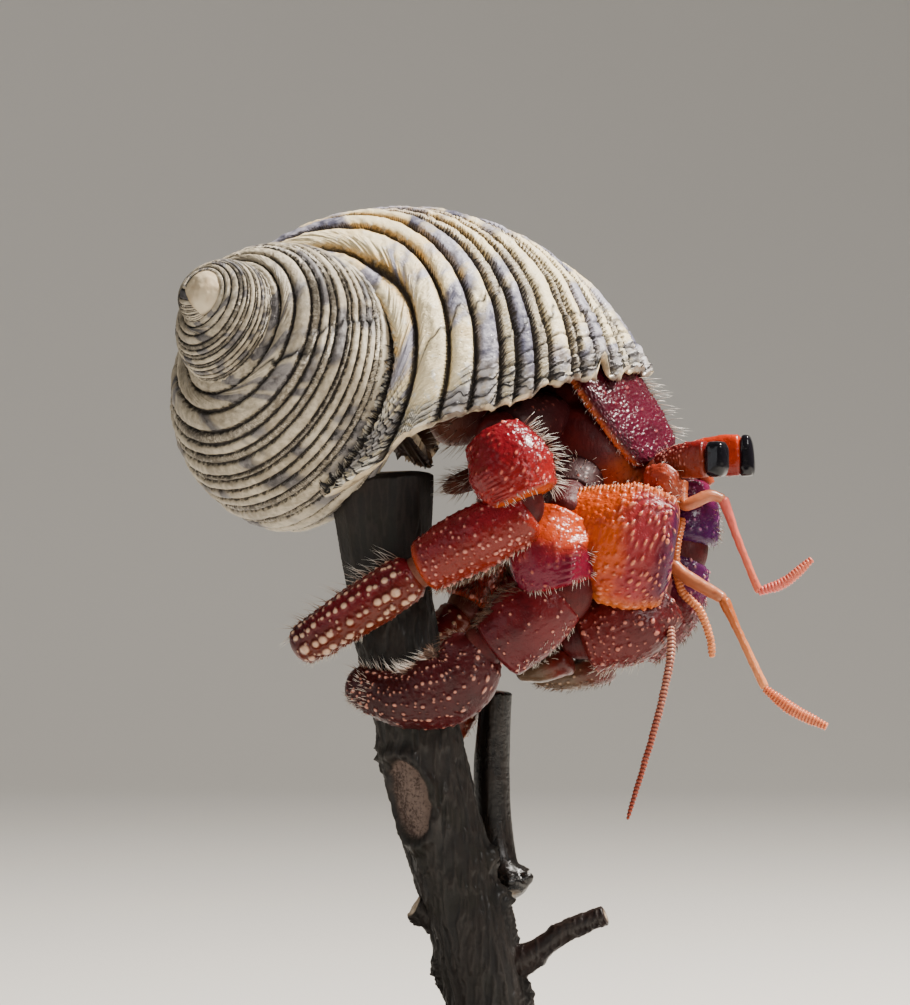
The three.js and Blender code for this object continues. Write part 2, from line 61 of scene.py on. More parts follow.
def lattice(x, y, z, seed=0):
    # smooth noise from -1 to 1: random values at the corners of unit cells, blended across each cell
    x, y, z = np.broadcast_arrays(np.asarray(x, float), np.asarray(y, float), np.asarray(z, float))
    floors = [np.floor(v).astype(np.int64) for v in (x, y, z)]
    blend = [v - f for v, f in zip((x, y, z), floors)]
    blend = [b * b * b * (b * (b * 6.0 - 15.0) + 10.0) for b in blend]
    total = np.zeros(x.shape)
    for corner in range(8):
        steps = (corner & 1, corner >> 1 & 1, corner >> 2)
        weight = np.ones(x.shape)
        for step, b in zip(steps, blend):
            weight = weight * (b if step else 1.0 - b)
        total += weight * scatter(floors[0] + steps[0], floors[1] + steps[1], floors[2] + steps[2], seed)
    return total * 2.0 - 1.0


def roughNoise(x, y, z, octaves, seed):
    # the same noise summed over octaves, each half as strong and twice as fine as the one before
    return sum(lattice(x * 2 ** o, y * 2 ** o, z * 2 ** o, seed + 17 * o) / 2 ** o for o in range(octaves))


def profileAt(values, t):
    # a smooth curve (Catmull-Rom) through evenly spaced values, read at t from 0 to 1
    values = np.asarray(values, float)
    last = len(values) - 1
    i = np.clip(np.floor(t * last).astype(int), 0, last - 1)
    u = t * last - i
    a, b, c, d = (values[np.clip(i + k, 0, last)] for k in (-1, 0, 1, 2))
    return b + 0.5 * u * (c - a + u * (2 * a - 5 * b + 4 * c - d + u * (3 * (b - c) + d - a)))


def pathAt(points, t):
    # a centripetal Catmull-Rom curve through the points, read at shares t of its length
    p = np.asarray(points, float)
    p = np.vstack([2 * p[0] - p[1], p, 2 * p[-1] - p[-2]])
    knots = np.maximum(np.linalg.norm(np.diff(p, axis=0), axis=1) ** 0.5, 1e-4)
    curve = []
    for i in range(len(p) - 3):
        a, b, c, d = p[i:i + 4]
        ka, kb, kc = knots[i:i + 3]
        slopeB = ((b - a) / ka - (c - a) / (ka + kb) + (c - b) / kb) * kb
        slopeC = ((c - b) / kb - (d - b) / (kb + kc) + (d - c) / kc) * kb
        u = np.linspace(0, 1, 60)[:, None]
        curve.append(b + u * slopeB + u ** 2 * (3 * (c - b) - 2 * slopeB - slopeC)
                     + u ** 3 * (2 * (b - c) + slopeB + slopeC))
    curve = np.vstack([curve[0]] + [part[1:] for part in curve[1:]])
    length = np.concatenate([[0], np.cumsum(np.linalg.norm(np.diff(curve, axis=0), axis=1))])
    places = np.clip(t, 0, 1) * length[-1]
    return np.stack([np.interp(places, length, curve[:, k]) for k in range(3)], -1), length[-1]


def unit(vectors):
    return vectors / np.maximum(np.linalg.norm(vectors, axis=-1, keepdims=True), 1e-12)


def window(value, low, high, outside, inside):
    # 1 between low and high: it fades from a little inside each end to a little outside it
    return (smoothStep(value, low - outside, low + inside)
            * (1 - smoothStep(value, high - inside, high + outside)))


def turnGap(turn, other):
    # degrees from one turn to another, the shorter way round
    return (turn - other + 180) % 360 - 180


def gridNormals(points, wrap=True):
    # cross product of the slopes along the rows and along the columns
    down = np.gradient(points, axis=0)
    if wrap:
        over = (np.roll(points, -1, 1) - np.roll(points, 1, 1)) / 2
    else:
        over = np.gradient(points, axis=1)
    return unit(np.cross(down, over))


def gridFaces(rows, columns, wrap=True):
    # quads between neighbouring rows and columns, joined round the back when wrap is set
    i = np.arange(rows - 1)[:, None]
    j = np.arange(columns if wrap else columns - 1)[None, :]
    nextColumn = (j + 1) % columns
    return np.stack([i * columns + j, i * columns + nextColumn,
                     (i + 1) * columns + nextColumn, (i + 1) * columns + j], -1).reshape(-1, 4)


def meshPiece(name, points, quads, triangles, material, marks, slot, patches=None, replaces=()):
    # points in millimetres; marks are values kept for each point, patches a bake map for each corner
    mesh = bpy.data.meshes.new(name)
    mesh.vertices.add(len(points))
    mesh.vertices.foreach_set("co", (points * millimetre).astype(np.float32).ravel())
    corners = np.concatenate([quads.ravel(), triangles.ravel()]).astype(np.int32)
    mesh.loops.add(len(corners))
    mesh.loops.foreach_set("vertex_index", corners)
    starts = np.concatenate([np.arange(len(quads)) * 4, quads.size + np.arange(len(triangles)) * 3])
    mesh.polygons.add(len(starts))
    mesh.polygons.foreach_set("loop_start", starts.astype(np.int32))
    mesh.update(calc_edges=True)
    mesh.polygons.foreach_set("use_smooth", np.ones(len(starts), bool))
    for key, values in marks.items():
        layer = mesh.attributes.new(key, "FLOAT", "POINT")
        layer.data.foreach_set("value", np.ascontiguousarray(values, np.float32).ravel())
    if patches is not None:
        layer = mesh.uv_layers.new(name="OFBake")
        layer.data.foreach_set("uv", patches[corners].astype(np.float32).ravel())
    mesh.validate()
    mesh.update()
    piece = bpy.data.objects.new(name, mesh)
    bpy.context.scene.collection.objects.link(piece)
    mesh.materials.append(material)
    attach(piece, "root")
    if replaces:
        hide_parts(*replaces)
    triangleCount[name] = 2 * len(quads) + len(triangles)
    return piece


def closedGrid(points):
    # a tube of rings closed at both ends by a fan about the middle of the end ring
    rows, columns = points.shape[:2]
    quads = gridFaces(rows, columns)
    hubs = np.stack([points[0].mean(0), points[-1].mean(0)])
    allPoints = np.vstack([points.reshape(-1, 3), hubs])
    j = np.arange(columns)
    step = (j + 1) % columns
    first = np.stack([np.full(columns, rows * columns), step, j], -1)
    base = (rows - 1) * columns
    last = np.stack([np.full(columns, rows * columns + 1), base + j, base + step], -1)
    triangles = np.vstack([first, last])
    a, b, c = (allPoints[quads[:, k]] for k in range(3))
    volume = np.einsum("ij,ij->i", a - hubs[0], np.cross(b - hubs[0], c - hubs[0])).sum()
    if volume < 0:
        quads, triangles = quads[:, ::-1], triangles[:, ::-1]
    return allPoints, quads, triangles


def closedMarks(marks):
    # the marks of a closed grid: flat, with one value more for the middle of each end
    return {key: np.concatenate([value.ravel(), value[0, :1], value[-1, :1]]) for key, value in marks.items()}


# shading: sums on sockets are written as Python, every other node goes through node()
class Link:
    def __init__(self, shade, socket):
        self.shade, self.socket = shade, socket

    def sum(self, operation, first, second):
        return self.shade.node("ShaderNodeMath", {"operation": operation}, {0: first, 1: second})

    def __add__(self, other):
        return self.sum("ADD", self, other)

    def __sub__(self, other):
        return self.sum("SUBTRACT", self, other)

    def __rsub__(self, other):
        return self.sum("SUBTRACT", other, self)

    def __mul__(self, other):
        return self.sum("MULTIPLY", self, other)

    __radd__ = __add__
    __rmul__ = __mul__


class Shade:
    def __init__(self, name):
        self.material = bpy.data.materials.new(name)
        self.material.use_nodes = True
        self.nodes = self.material.node_tree.nodes
        self.links = self.material.node_tree.links
        self.nodes.clear()
        self.place = self.node("ShaderNodeTexCoord", {}, {}, "Object")

    def node(self, kind, settings, sockets, output=0):
        made = self.nodes.new(kind)
        for key, value in settings.items():
            setattr(made, key, value)
        for key, value in sockets.items():
            if isinstance(value, Link):
                self.links.new(value.socket, made.inputs[key])
            elif isinstance(value, tuple) and len(value) == 3 and made.inputs[key].type == "RGBA":
                made.inputs[key].default_value = (*value, 1)
            else:
                made.inputs[key].default_value = value
        return Link(self, made.outputs[output])

    def mark(self, name):
        return self.node("ShaderNodeAttribute", {"attribute_name": name}, {}, "Fac")

    def mix(self, share, first, second):
        # the numbers are the colour sockets of the node: share, two colours in, one colour out
        return self.node("ShaderNodeMix", {"data_type": "RGBA", "clamp_factor": True},
                         {0: share, 6: first, 7: second}, 2)

    def rise(self, value, low, high):
        # 0 at low, 1 at high and smooth between them
        return self.node("ShaderNodeMapRange", {"interpolation_type": "SMOOTHSTEP"},
                         {0: value, 1: low, 2: high, 3: 0.0, 4: 1.0})

    def fraction(self, value):
        return self.node("ShaderNodeMath", {"operation": "FRACT"}, {0: value})

    def noise(self, scale, detail=2.0, rough=0.5, stretch=None):
        where = self.place
        if stretch:
            where = self.node("ShaderNodeMapping", {}, {"Vector": where, "Scale": stretch})
        return self.node("ShaderNodeTexNoise", {}, {"Vector": where, "Scale": scale, "Detail": detail,
                                                    "Roughness": rough})

    def cells(self, scale):
        # distance to the nearest of many scattered points
        return self.node("ShaderNodeTexVoronoi", {}, {"Vector": self.place, "Scale": scale}, "Distance")

    def bump(self, height, distance, strength):
        return self.node("ShaderNodeBump", {}, {"Height": height, "Distance": distance, "Strength": strength})

    def finish(self, **sockets):
        names = {"colour": "Base Color", "roughness": "Roughness", "normal": "Normal", "coat": "Coat Weight",
                 "coatRoughness": "Coat Roughness", "specular": "Specular IOR Level",
                 "subsurface": "Subsurface Weight", "subsurfaceRadius": "Subsurface Radius",
                 "subsurfaceScale": "Subsurface Scale"}
        surface = self.node("ShaderNodeBsdfPrincipled", {}, {names[k]: v for k, v in sockets.items()})
        out = self.nodes.new("ShaderNodeOutputMaterial")
        self.links.new(surface.socket, out.inputs["Surface"])
        return self.material


# light goes further in red than in green and blue under the skin
redGlow = (1.0, 0.25, 0.12)

# the turban shell, as a surface of growth about a tilted axis
shell = {
    "apex": (-38.4, -17.0, 126.1), "tilt": 48.3, "fall": 36.6,
    "scale": 16.1, "turnGrowth": 2.23, "lip": 128.0, "wall": 0.075,
    "radius": 0.555, "drop": 3.146, "across": 1.564, "along": 1.807, "tuck": 0.75, "suture": 85,
    "lagRound": (0, 12, 21, 32, 60, 95, 125, 150, 170, 200, 260, 315, 345, 360),
    "lagTurn": (0, 0, 40, 54, 73, 90, 107, 133, 165, 190, 140, 60, 0, 0),
    # grooves between the spiral cords, in degrees round the whorl where the lip is
    "grooves": (8, 11.6, 18.2, 27.6, 35, 42, 46.4, 51.8, 56, 63, 65.8, 71.2, 76.8, 82, 86, 94, 97, 105, 113,
                116, 124, 131, 142, 152, 163, 175, 188, 202, 218, 236, 256, 278, 302, 330, 372),
    # heights and widths are shares of the size of the whorl, pitches are degrees of growth
    "cordHeight": 0.052, "grooveDepth": 0.050, "grooveWidth": 0.018, "wear": 0.008, "crackDepth": 0.022,
    "lamella": 1.15, "ridgePitch": 2.7, "blockPitch": 3.8, "scarUnit": 21,
    # place round the lip, width and depth in degrees, and the same for the tongue beside the notch
    "notch": (73.5, 1.9, 5.5), "tongue": (79, 3, 1.2),
    # the worn nub and the blunt end of the spire under it, in millimetres
    "nubDepth": 6.9, "nubRadius": 3.72, "bluntReach": 2.6,
    # old lips: age, first and last cord, depth in millimetres where the whorl has the size scarUnit
    "scars": ((17.0, 40, 86, 0.35), (31.0, 20, 48, 0.25), (360.0, 42, 83, 0.85), (347.0, 30, 46, 0.85),
              (520.0, 30, 60, 0.30)),
}
shellTilt, shellFall = math.radians(shell["tilt"]), math.radians(shell["fall"])
shellAxis = np.array([-math.sin(shellTilt) * math.cos(shellFall), -math.cos(shellTilt),
                      math.sin(shellTilt) * math.sin(shellFall)])
shellUp = np.array([math.sin(shellFall), 0, math.cos(shellFall)])
shellNear = np.array([math.cos(shellTilt) * math.cos(shellFall), -math.sin(shellTilt),
                      -math.cos(shellTilt) * math.sin(shellFall)])
shellGrowth = math.log(shell["turnGrowth"]) / (2 * math.pi)


def growthLag(around):
    # degrees by which each point of a growth line lags behind the suture, eased between the stops
    easing = 0.3
    stops, turns = np.array(shell["lagRound"], float), np.array(shell["lagTurn"], float)
    i = np.clip(np.searchsorted(stops, around), 1, len(stops) - 1)
    u = np.clip((around - stops[i - 1]) / (stops[i] - stops[i - 1]), 0, 1)
    return turns[i - 1] + (turns[i] - turns[i - 1]) * (u * u * (3 - 2 * u) * easing + u * (1 - easing))


def whorlTurn(age, around):
    # the angle about the axis, in radians, of growth of this age
    return np.radians(shell["lip"] - age - growthLag(around))


def whorlSize(angle):
    # the whorl grows as an exponential of the angle turned about the axis
    return shell["scale"] * np.exp(shellGrowth * angle)


def aboutAxis(down, out, angle):
    # points so far down the axis from the apex, and so far out from it at that angle
    return (np.array(shell["apex"]) - shellAxis * down[..., None]
            + shellUp * (np.cos(angle) * out)[..., None] + shellNear * (np.sin(angle) * out)[..., None])


def whorlSurface(age, around, wall=0.0):
    # age is degrees of growth behind the lip, around is degrees round the whorl from the suture:
    # an ellipse in the plane of the axis, turned about the axis and grown with the turn
    turn = np.radians(shell["suture"] - around)
    angle = whorlTurn(age, around)
    grown = whorlSize(angle)
    # the whorl never passes the pillar it is wound on, and a lining or a body inside it keeps clear of it
    pillar = np.where(np.asarray(wall) > 0, 0.1 + np.asarray(wall) * 0.5, -0.12)
    out = np.maximum(shell["radius"] + (shell["across"] - wall) * np.cos(turn), pillar) * grown
    tuck = shell["tuck"] * smoothStep(around, 85, 180) * (1 - smoothStep(around, 230, 330))
    down = (shell["drop"] - (shell["along"] - tuck - wall) * np.sin(turn)) * grown
    return aboutAxis(down, out, angle)


def cordAt(age, around):
    # degrees round the whorl, counted in the cords of the lip: the cords drift on the older growth
    early = smoothStep(age, 55, 120) * (5 * (1 - smoothStep(around, 8, 40)) - 4 * smoothStep(around, 20, 50)
                                        * (1 - smoothStep(around, 60, 100)))
    late = 6 + 7 * (1 - smoothStep(around, 14, 44))
    drift = early + (late - early) * smoothStep(age, 120, 260)
    return around + drift * (1 - smoothStep(around, 110, 160))


def crackedBlocks(age, cord, i):
    # 1 in the cross cracks that split the cords near the lip into blocks
    crackHalf = 0.26
    block = age / shell["blockPitch"] + scatter(i, 2, 0, 77) + 0.35 * lattice(age * 0.2, i * 3.1, 0, 78)
    gap = np.abs(block - np.round(block)) * shell["blockPitch"] + 0.12 * lattice(cord * 1.2, age * 0.8, 0, 79)
    blocks = smoothStep(cord, 36, 44) * (1 - smoothStep(cord, 95, 110)) * (1 - smoothStep(age, 10, 19))
    return blocks * np.exp(-(gap / crackHalf) ** 2)


def oldScars(age, cord, size):
    # how deep the shell steps down behind each old lip, and 1 along its ragged edge
    depthOfScars, edgeOfScars = np.zeros(age.shape), np.zeros(age.shape)
    for scarAge, low, top, depth in shell["scars"]:
        wander = scarAge + 2.2 * lattice(cord * 0.35, 2, 0, 21) + 1.1 * lattice(cord * 1.3, 4, 0, 22)
        share = window(cord, low, top, 3, 2)
        edgeWidth = 0.6 + 0.004 * scarAge
        edgeOfScars = np.maximum(edgeOfScars, share * np.exp(-((age - wander) / edgeWidth) ** 2))
        step = smoothStep(age, wander - 0.5, wander + 0.2) * (1 - smoothStep(age, wander + 3, wander + 11))
        depthOfScars = depthOfScars + share * depth * size / shell["scarUnit"] * step
    return depthOfScars, edgeOfScars


def cordRelief(age, around):
    # rounded cords between the listed grooves with beaded strips between them, sharp growth ridges near
    # the lip, blocks split by cross cracks, and old scars where the lip once broke
    size = whorlSize(whorlTurn(age, around))
    cord = cordAt(age, around)
    grooves = np.array(shell["grooves"], float)
    i = np.clip(np.searchsorted(grooves, cord), 1, len(grooves) - 1)
    width = grooves[i] - grooves[i - 1]
    toLow, toHigh = cord - grooves[i - 1], grooves[i] - cord
    perDegree = math.pi / 180 * shell["across"] * size
    nearest = np.minimum(toLow, toHigh) * perDegree
    crown = 1 - np.abs(2 * toLow / width - 1) ** 2.3
    narrow = 1 - smoothStep(width, 4.4, 5.0)
    # growth lines: fine lamellae everywhere, and coarser waves that ruffle the lip and the suture
    bend = 1.3 * lattice(cord * 0.16, age * 0.08, 0, 3) + 0.7 * lattice(cord * 0.6, age * 0.25, 0, 4)
    phase = age * (1 + 0.08 * lattice(age * 0.03, 0, 5)) / shell["lamella"] + bend + 0.37 * i
    sutureZone = 1 - smoothStep(cord, 12, 20)
    level = age + growthLag(around) * (1 - smoothStep(around, 14, 24))
    wave = level / (shell["ridgePitch"] * (1 + 0.9 * sutureZone)) + 0.5 * bend + 0.61 * i + 0.45 * crown
    tooth, swell = phase - np.floor(phase), wave - np.floor(wave)
    reach = 11 + 34 * (1 - smoothStep(cord, 13, 22)) - 5 * smoothStep(cord, 40, 50)
    raggedAge = age + 4 * lattice(cord * 0.3, age * 0.1, 0, 8)
    ruffle = np.maximum(1 - smoothStep(raggedAge, reach * 0.6, reach * 1.3),
                        (1 - smoothStep(cord, 11, 15)) * (1 - smoothStep(age, 100, 150)))
    # the heights of the cords, their grooves, the growth lines and the wear, one after the other
    high = shell["cordHeight"] * size * np.minimum(width / 8.0, 1.15) ** 0.5 * (1 - 0.45 * narrow)
    beadSize = 0.7 + 0.6 * scatter(np.floor(phase).astype(int), i, 0, 9)
    beads = np.abs(np.sin(math.pi * phase)) ** 0.6 * beadSize
    height = high * (crown - 0.45) * (1 - narrow * 0.8 * (1 - beads))
    height = height - shell["grooveDepth"] * size * np.exp(-(nearest / (shell["grooveWidth"] * size)) ** 2)
    height = height + size * (0.004 + 0.012 * narrow) * (tooth - 0.5)
    height = height + size * (0.040 + 0.03 * sutureZone) * ruffle * (swell - 0.5) * (1 - 0.4 * narrow)
    height = height + shell["wear"] * size * roughNoise(cord * 0.5, age * 0.35, 0, 3, 13)
    blocks = crackedBlocks(age, cord, i)
    scarDepth, scarEdge = oldScars(age, cord, size)
    height = height - blocks * shell["crackDepth"] * size - scarDepth
    blotch = lattice(age * 0.055, i * 7.31, 0, 31) + 0.35 * lattice(age * 0.25, i * 3.7 + cord * 0.1, 0, 32)
    # edge is the way to the nearest groove, in twentieths of the size of the whorl
    return height, {"edge": nearest / size * 20, "phase": phase, "wave": wave, "ruffle": ruffle,
                    "crack": np.maximum(scarEdge, blocks * 0.9), "blotch": blotch, "narrow": narrow,
                    "age": age, "cord": cord}


def lipRag(around):
    # degrees by which the broken lip falls short of or passes an even growth line: ragged all along,
    # with one deep notch and a small tongue beside it
    rag = 0.9 * lattice(around * 0.22, 1, 0, 41) + 0.6 * lattice(around * 0.9, 2, 0, 42)
    notchAt, notchWidth, notchDepth = shell["notch"]
    tongueAt, tongueWidth, tongueLength = shell["tongue"]
    notch = notchDepth * np.exp(-(((around - notchAt) / notchWidth) ** 4))
    tongue = tongueLength * np.exp(-((around - tongueAt) / tongueWidth) ** 2)
    return rag - (notch - tongue)


def bluntStart(points, age, reach):
    # a rounded end ahead of the first section: the section shrinks by the cosine of an angle about the
    # middle of the whorl while it moves on by the sine of that angle along the way the whorl runs
    turned = np.radians(shell["lip"] - age)
    grown = whorlSize(turned)
    middle = aboutAxis(shell["drop"] * grown, shell["radius"] * grown, turned)
    onward = unit(points[-1] - points[-3]).mean(0)
    bend = np.linspace(0, 0.49 * math.pi, 15)[1:, None, None]
    return middle + (points[-1] - middle)[None] * np.cos(bend) + unit(onward) * reach * np.sin(bend)


def whorlHeart(age, around):
    # points deep inside the whorl, to tell the inner side of a sheet from the outer one
    return whorlSurface(age, around, 0.9)


def shellSheet(name, ages, rounds, material, blunt=0.0):
    # one sheet of the outer surface, pushed out along its own normal by the cord relief
    age, around = np.meshgrid(ages, rounds, indexing="ij")
    age = age - lipRag(around) * (1 - smoothStep(age, 0, 10))
    points = whorlSurface(age, around)
    normals = gridNormals(points, wrap=False)
    facing = np.sign(np.einsum("ijk,ijk->ij", normals, points - whorlHeart(age, around)).mean())
    height, marks = cordRelief(age, around)
    points = points + normals * facing * height[..., None]
    if blunt:
        start = bluntStart(points, ages[-1], blunt)
        points = np.concatenate([points, start])
        marks = {k: np.concatenate([v, np.repeat(v[-1:], len(start), 0)]) for k, v in marks.items()}
    quads = gridFaces(len(points), len(rounds), wrap=False)
    if facing > 0:
        quads = quads[:, ::-1]
    marks = {k: v.ravel() for k, v in marks.items()}
    return meshPiece(name, points.reshape(-1, 3), quads, noTriangles, material, marks, "shell")


def shellMaterial():
    shade = Shade("weatheredShell")
    edge, phase, ruffle = shade.mark("edge"), shade.mark("phase"), shade.mark("ruffle")
    crack, blotch, narrow, age = (shade.mark(k) for k in ("crack", "blotch", "narrow", "age"))
    fine = shade.noise(900, 4, 0.6)
    broad = shade.noise(120, 3, 0.55)
    tooth = shade.fraction(phase + (fine - 0.5) * 0.35)
    swell = shade.fraction(shade.mark("wave") + (fine - 0.5) * 0.25)
    older = shade.rise(age, 110, 215)
    # colour: cream and slate blotches that follow each cord, chalky where worn, greyer on the older turns
    slate = shade.rise(blotch + (broad - 0.5) * 0.9 + (fine - 0.5) * 0.45 - older * 0.18, -0.08, 0.36)
    golden = (1 - shade.rise(edge + (fine - 0.5), 0.3, 1.5)) * shade.rise(age, 25, 80) * 0.8
    cream = shade.mix(golden + shade.rise(broad, 0.52, 0.68) * 0.35, (0.88, 0.74, 0.46), (0.82, 0.49, 0.13))
    chalk = shade.mix(shade.rise(fine + ruffle * 0.2, 0.56, 0.74), cream, (0.90, 0.85, 0.74))
    grain = shade.rise(fine + (broad - 0.5) * 1.4, 0.30, 0.70)
    grey = shade.mix(grain, (0.095, 0.092, 0.135), (0.38, 0.36, 0.42))
    coarse = shade.rise(fine + (broad - 0.5), 0.3, 0.7)
    worn = shade.mix(coarse, (0.36, 0.30, 0.21), (0.66, 0.57, 0.42))
    brown = shade.mix(coarse, (0.070, 0.062, 0.062), (0.25, 0.23, 0.22))
    colour = shade.mix(older, chalk, worn)
    slate = slate * (1 - 0.35 * ruffle) * (1 - 0.6 * narrow)
    colour = shade.mix(slate, colour, shade.mix(older, grey, brown))
    speckled = shade.rise(shade.noise(1900, 3, 0.6), 0.50, 0.60)
    colour = shade.mix(narrow * speckled * 0.75, colour, (0.70, 0.62, 0.49))
    colour = shade.mix(narrow * (1 - speckled) * 0.35, colour, (0.06, 0.05, 0.05))
    # dark grooves with toothed edges, and a dark line under each growth lamella
    jag = shade.noise(1500, 3, 0.65)
    width = 0.26 + 0.36 * tooth * (1 - 0.4 * older) + (jag - 0.5) * (0.9 + 0.4 * older)
    groove = 1 - shade.rise(edge, width * 0.5, width * 1.45)
    lamella = (shade.rise(tooth, 0.74, 0.95) * (0.05 + 0.65 * narrow + 0.35 * groove)
               + shade.rise(swell, 0.60, 0.86) * ruffle)
    dark = shade.mix(older, (0.030, 0.020, 0.015), (0.016, 0.011, 0.008))
    colour = shade.mix(groove * 0.95, colour, dark)
    colour = shade.mix(lamella, colour, (0.022, 0.018, 0.018))
    colour = shade.mix(crack * shade.rise(fine, 0.25, 0.45), colour, (0.012, 0.009, 0.008))
    # painted shade: past cord 140 round the whorl, on its inner side by the pillar, the colour darkens to
    # dark brown
    inner = shade.rise(shade.mark("cord"), 140, 180)
    colour = shade.mix(inner * 0.95, colour, (0.060, 0.030, 0.018))
    pits = shade.rise(shade.cells(1500), 0.05, 0.30)
    height = (tooth * (0.12 + 0.7 * narrow) + swell * ruffle - groove * 1.1 + fine * 0.5 + pits * 0.2
              + shade.noise(3200, 3, 0.6) * 0.25)
    return shade.finish(colour=colour, roughness=0.50 + 0.25 * groove + 0.18 * (fine - 0.5),
                        normal=shade.bump(height, 0.00026, 1.0), coat=0.05, specular=0.4)


def nubMaterial():
    shade = Shade("wornNub")
    fine, broad = shade.noise(1100, 4, 0.6), shade.noise(240, 2, 0.5)
    pits = 1 - shade.rise(shade.cells(420) + (fine - 0.5) * 0.3, 0.10, 0.20)
    deep = pits * shade.rise(broad, 0.52, 0.60)
    colour = shade.mix(shade.rise(broad, 0.35, 0.65), (0.52, 0.38, 0.22), (0.76, 0.64, 0.44))
    colour = shade.mix(shade.mark("foot"), colour, (0.10, 0.07, 0.05))
    colour = shade.mix(deep * 0.9, colour, (0.10, 0.07, 0.05))
    return shade.finish(colour=colour, roughness=0.42 + 0.2 * fine, coat=0.12,
                        normal=shade.bump(fine * 0.4 - deep, 0.00025, 0.8))


def liningMaterial():
    shade = Shade("shellLining")
    rim, fine = shade.mark("rim"), shade.noise(700, 3, 0.6)
    patch = shade.noise(230, 3, 0.6)
    edge = shade.mix(shade.rise(patch, 0.44, 0.58), (0.20, 0.15, 0.11), (0.74, 0.60, 0.38))
    colour = shade.mix(shade.rise(rim + (fine - 0.5) * 0.4, 0.25, 0.8), (0.16, 0.080, 0.040), edge)
    colour = shade.mix(shade.rise(fine, 0.5, 0.75) * 0.5, colour, (0.12, 0.06, 0.03))
    return shade.finish(colour=colour, roughness=0.30 + 0.25 * fine, coat=0.25,
                        normal=shade.bump(fine, 0.0002, 0.5))


def buildNub():
    # the worn tip: a dome about the axis, lying just inside the first turns
    polar, turn = np.meshgrid(np.linspace(0.02, 2.3, 60), np.linspace(0, 2 * math.pi, 96, endpoint=False),
                              indexing="ij")
    wide = 2 * np.sin(polar)
    dent = 0.035 * roughNoise(np.cos(turn) * wide, np.sin(turn) * wide, polar, 3, 51)
    sizes = shell["nubRadius"] * (1 + dent)
    nub = aboutAxis(shell["nubDepth"] - np.cos(polar) * sizes, np.sin(polar) * sizes, turn)
    # brown where the dome meets the turns
    marks = {"foot": np.concatenate([smoothStep(polar, 1.15, 1.45).ravel(), [0, 1]])}
    return meshPiece("shell_nub", *closedGrid(nub), nubMaterial(), marks, "shell")


def buildLining():
    # rounded rim of the lip, then the lining that runs back into the shell
    around = np.linspace(5, 350, 520)
    rimRows, fadeRows = 9, 7
    rows = []
    for turn in np.linspace(0, math.pi, rimRows):
        wall = shell["wall"] * (1 - math.cos(turn)) / 2
        rows.append((-lipRag(around) - 1.1 * math.sin(turn), np.full(around.shape, wall)))
    for depth in np.linspace(1.5, 215, 72):
        fade = 1 - smoothStep(np.array(depth), 0, 12)
        rows.append((depth - lipRag(around) * fade, np.full(around.shape, shell["wall"])))
    age, wall = (np.array(v) for v in zip(*rows))
    allAround = np.broadcast_to(around, age.shape)
    grid = whorlSurface(age, allAround, wall)
    # the first rows follow the relief of the outer side, less and less round the rim
    lipAge = -lipRag(around)
    relief = cordRelief(lipAge, around)[0]
    normals = gridNormals(whorlSurface(np.stack([lipAge, lipAge + 1]), np.stack([around, around])),
                          wrap=False)[0]
    outer = whorlSurface(lipAge, around)
    outward = np.sign(np.einsum("ij,ij->i", normals, outer - whorlHeart(lipAge, around)))
    fade = np.linspace(1, 0, rimRows)[:, None, None] ** 2
    grid[:rimRows] += fade * (normals * outward[:, None] * relief[:, None])[None]
    quads = gridFaces(len(grid), len(around), wrap=False)
    inward = whorlHeart(age, allAround) - grid
    if np.einsum("ijk,ijk->ij", gridNormals(grid, wrap=False), inward)[20:].mean() > 0:
        quads = quads[:, ::-1]
    rim = np.zeros(age.shape)
    rim[:rimRows] = 1
    rim[rimRows:rimRows + fadeRows] = np.linspace(0.9, 0, fadeRows)[:, None]
    return meshPiece("shell_lining", grid.reshape(-1, 3), quads, noTriangles, liningMaterial(),
                     {"rim": rim.ravel()}, "shell")


def buildShell():
    # finer near the lip, and on the side of the whorl that shows
    material = shellMaterial()
    fineRounds = np.concatenate([np.linspace(5, 130, 250), np.linspace(131, 350, 110)])
    plainRounds = np.concatenate([np.linspace(5, 130, 190), np.linspace(131, 350, 60)])
    spireRounds = np.linspace(5, 104, 104)
    last = shellSheet("shell_last_turn", np.linspace(0, 62, 250), fineRounds, material)
    body = shellSheet("shell_body", np.linspace(62, 392, 390), plainRounds, material)
    spire = shellSheet("shell_spire", np.linspace(391, 965, 580), spireRounds, material, shell["bluntReach"])
    for piece in (last, body, spire, buildNub(), buildLining()):
        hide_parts("shell")
    print("shell made")


buildShell()


# legs, claws and the rest of the body: tubes with a width and a depth that change along a path
depthwise, sideways, bodySide = (0, 1, 0), (1, 0, 0.2), (0.4092, 0.8776, 0.2496)
surfaces = {}


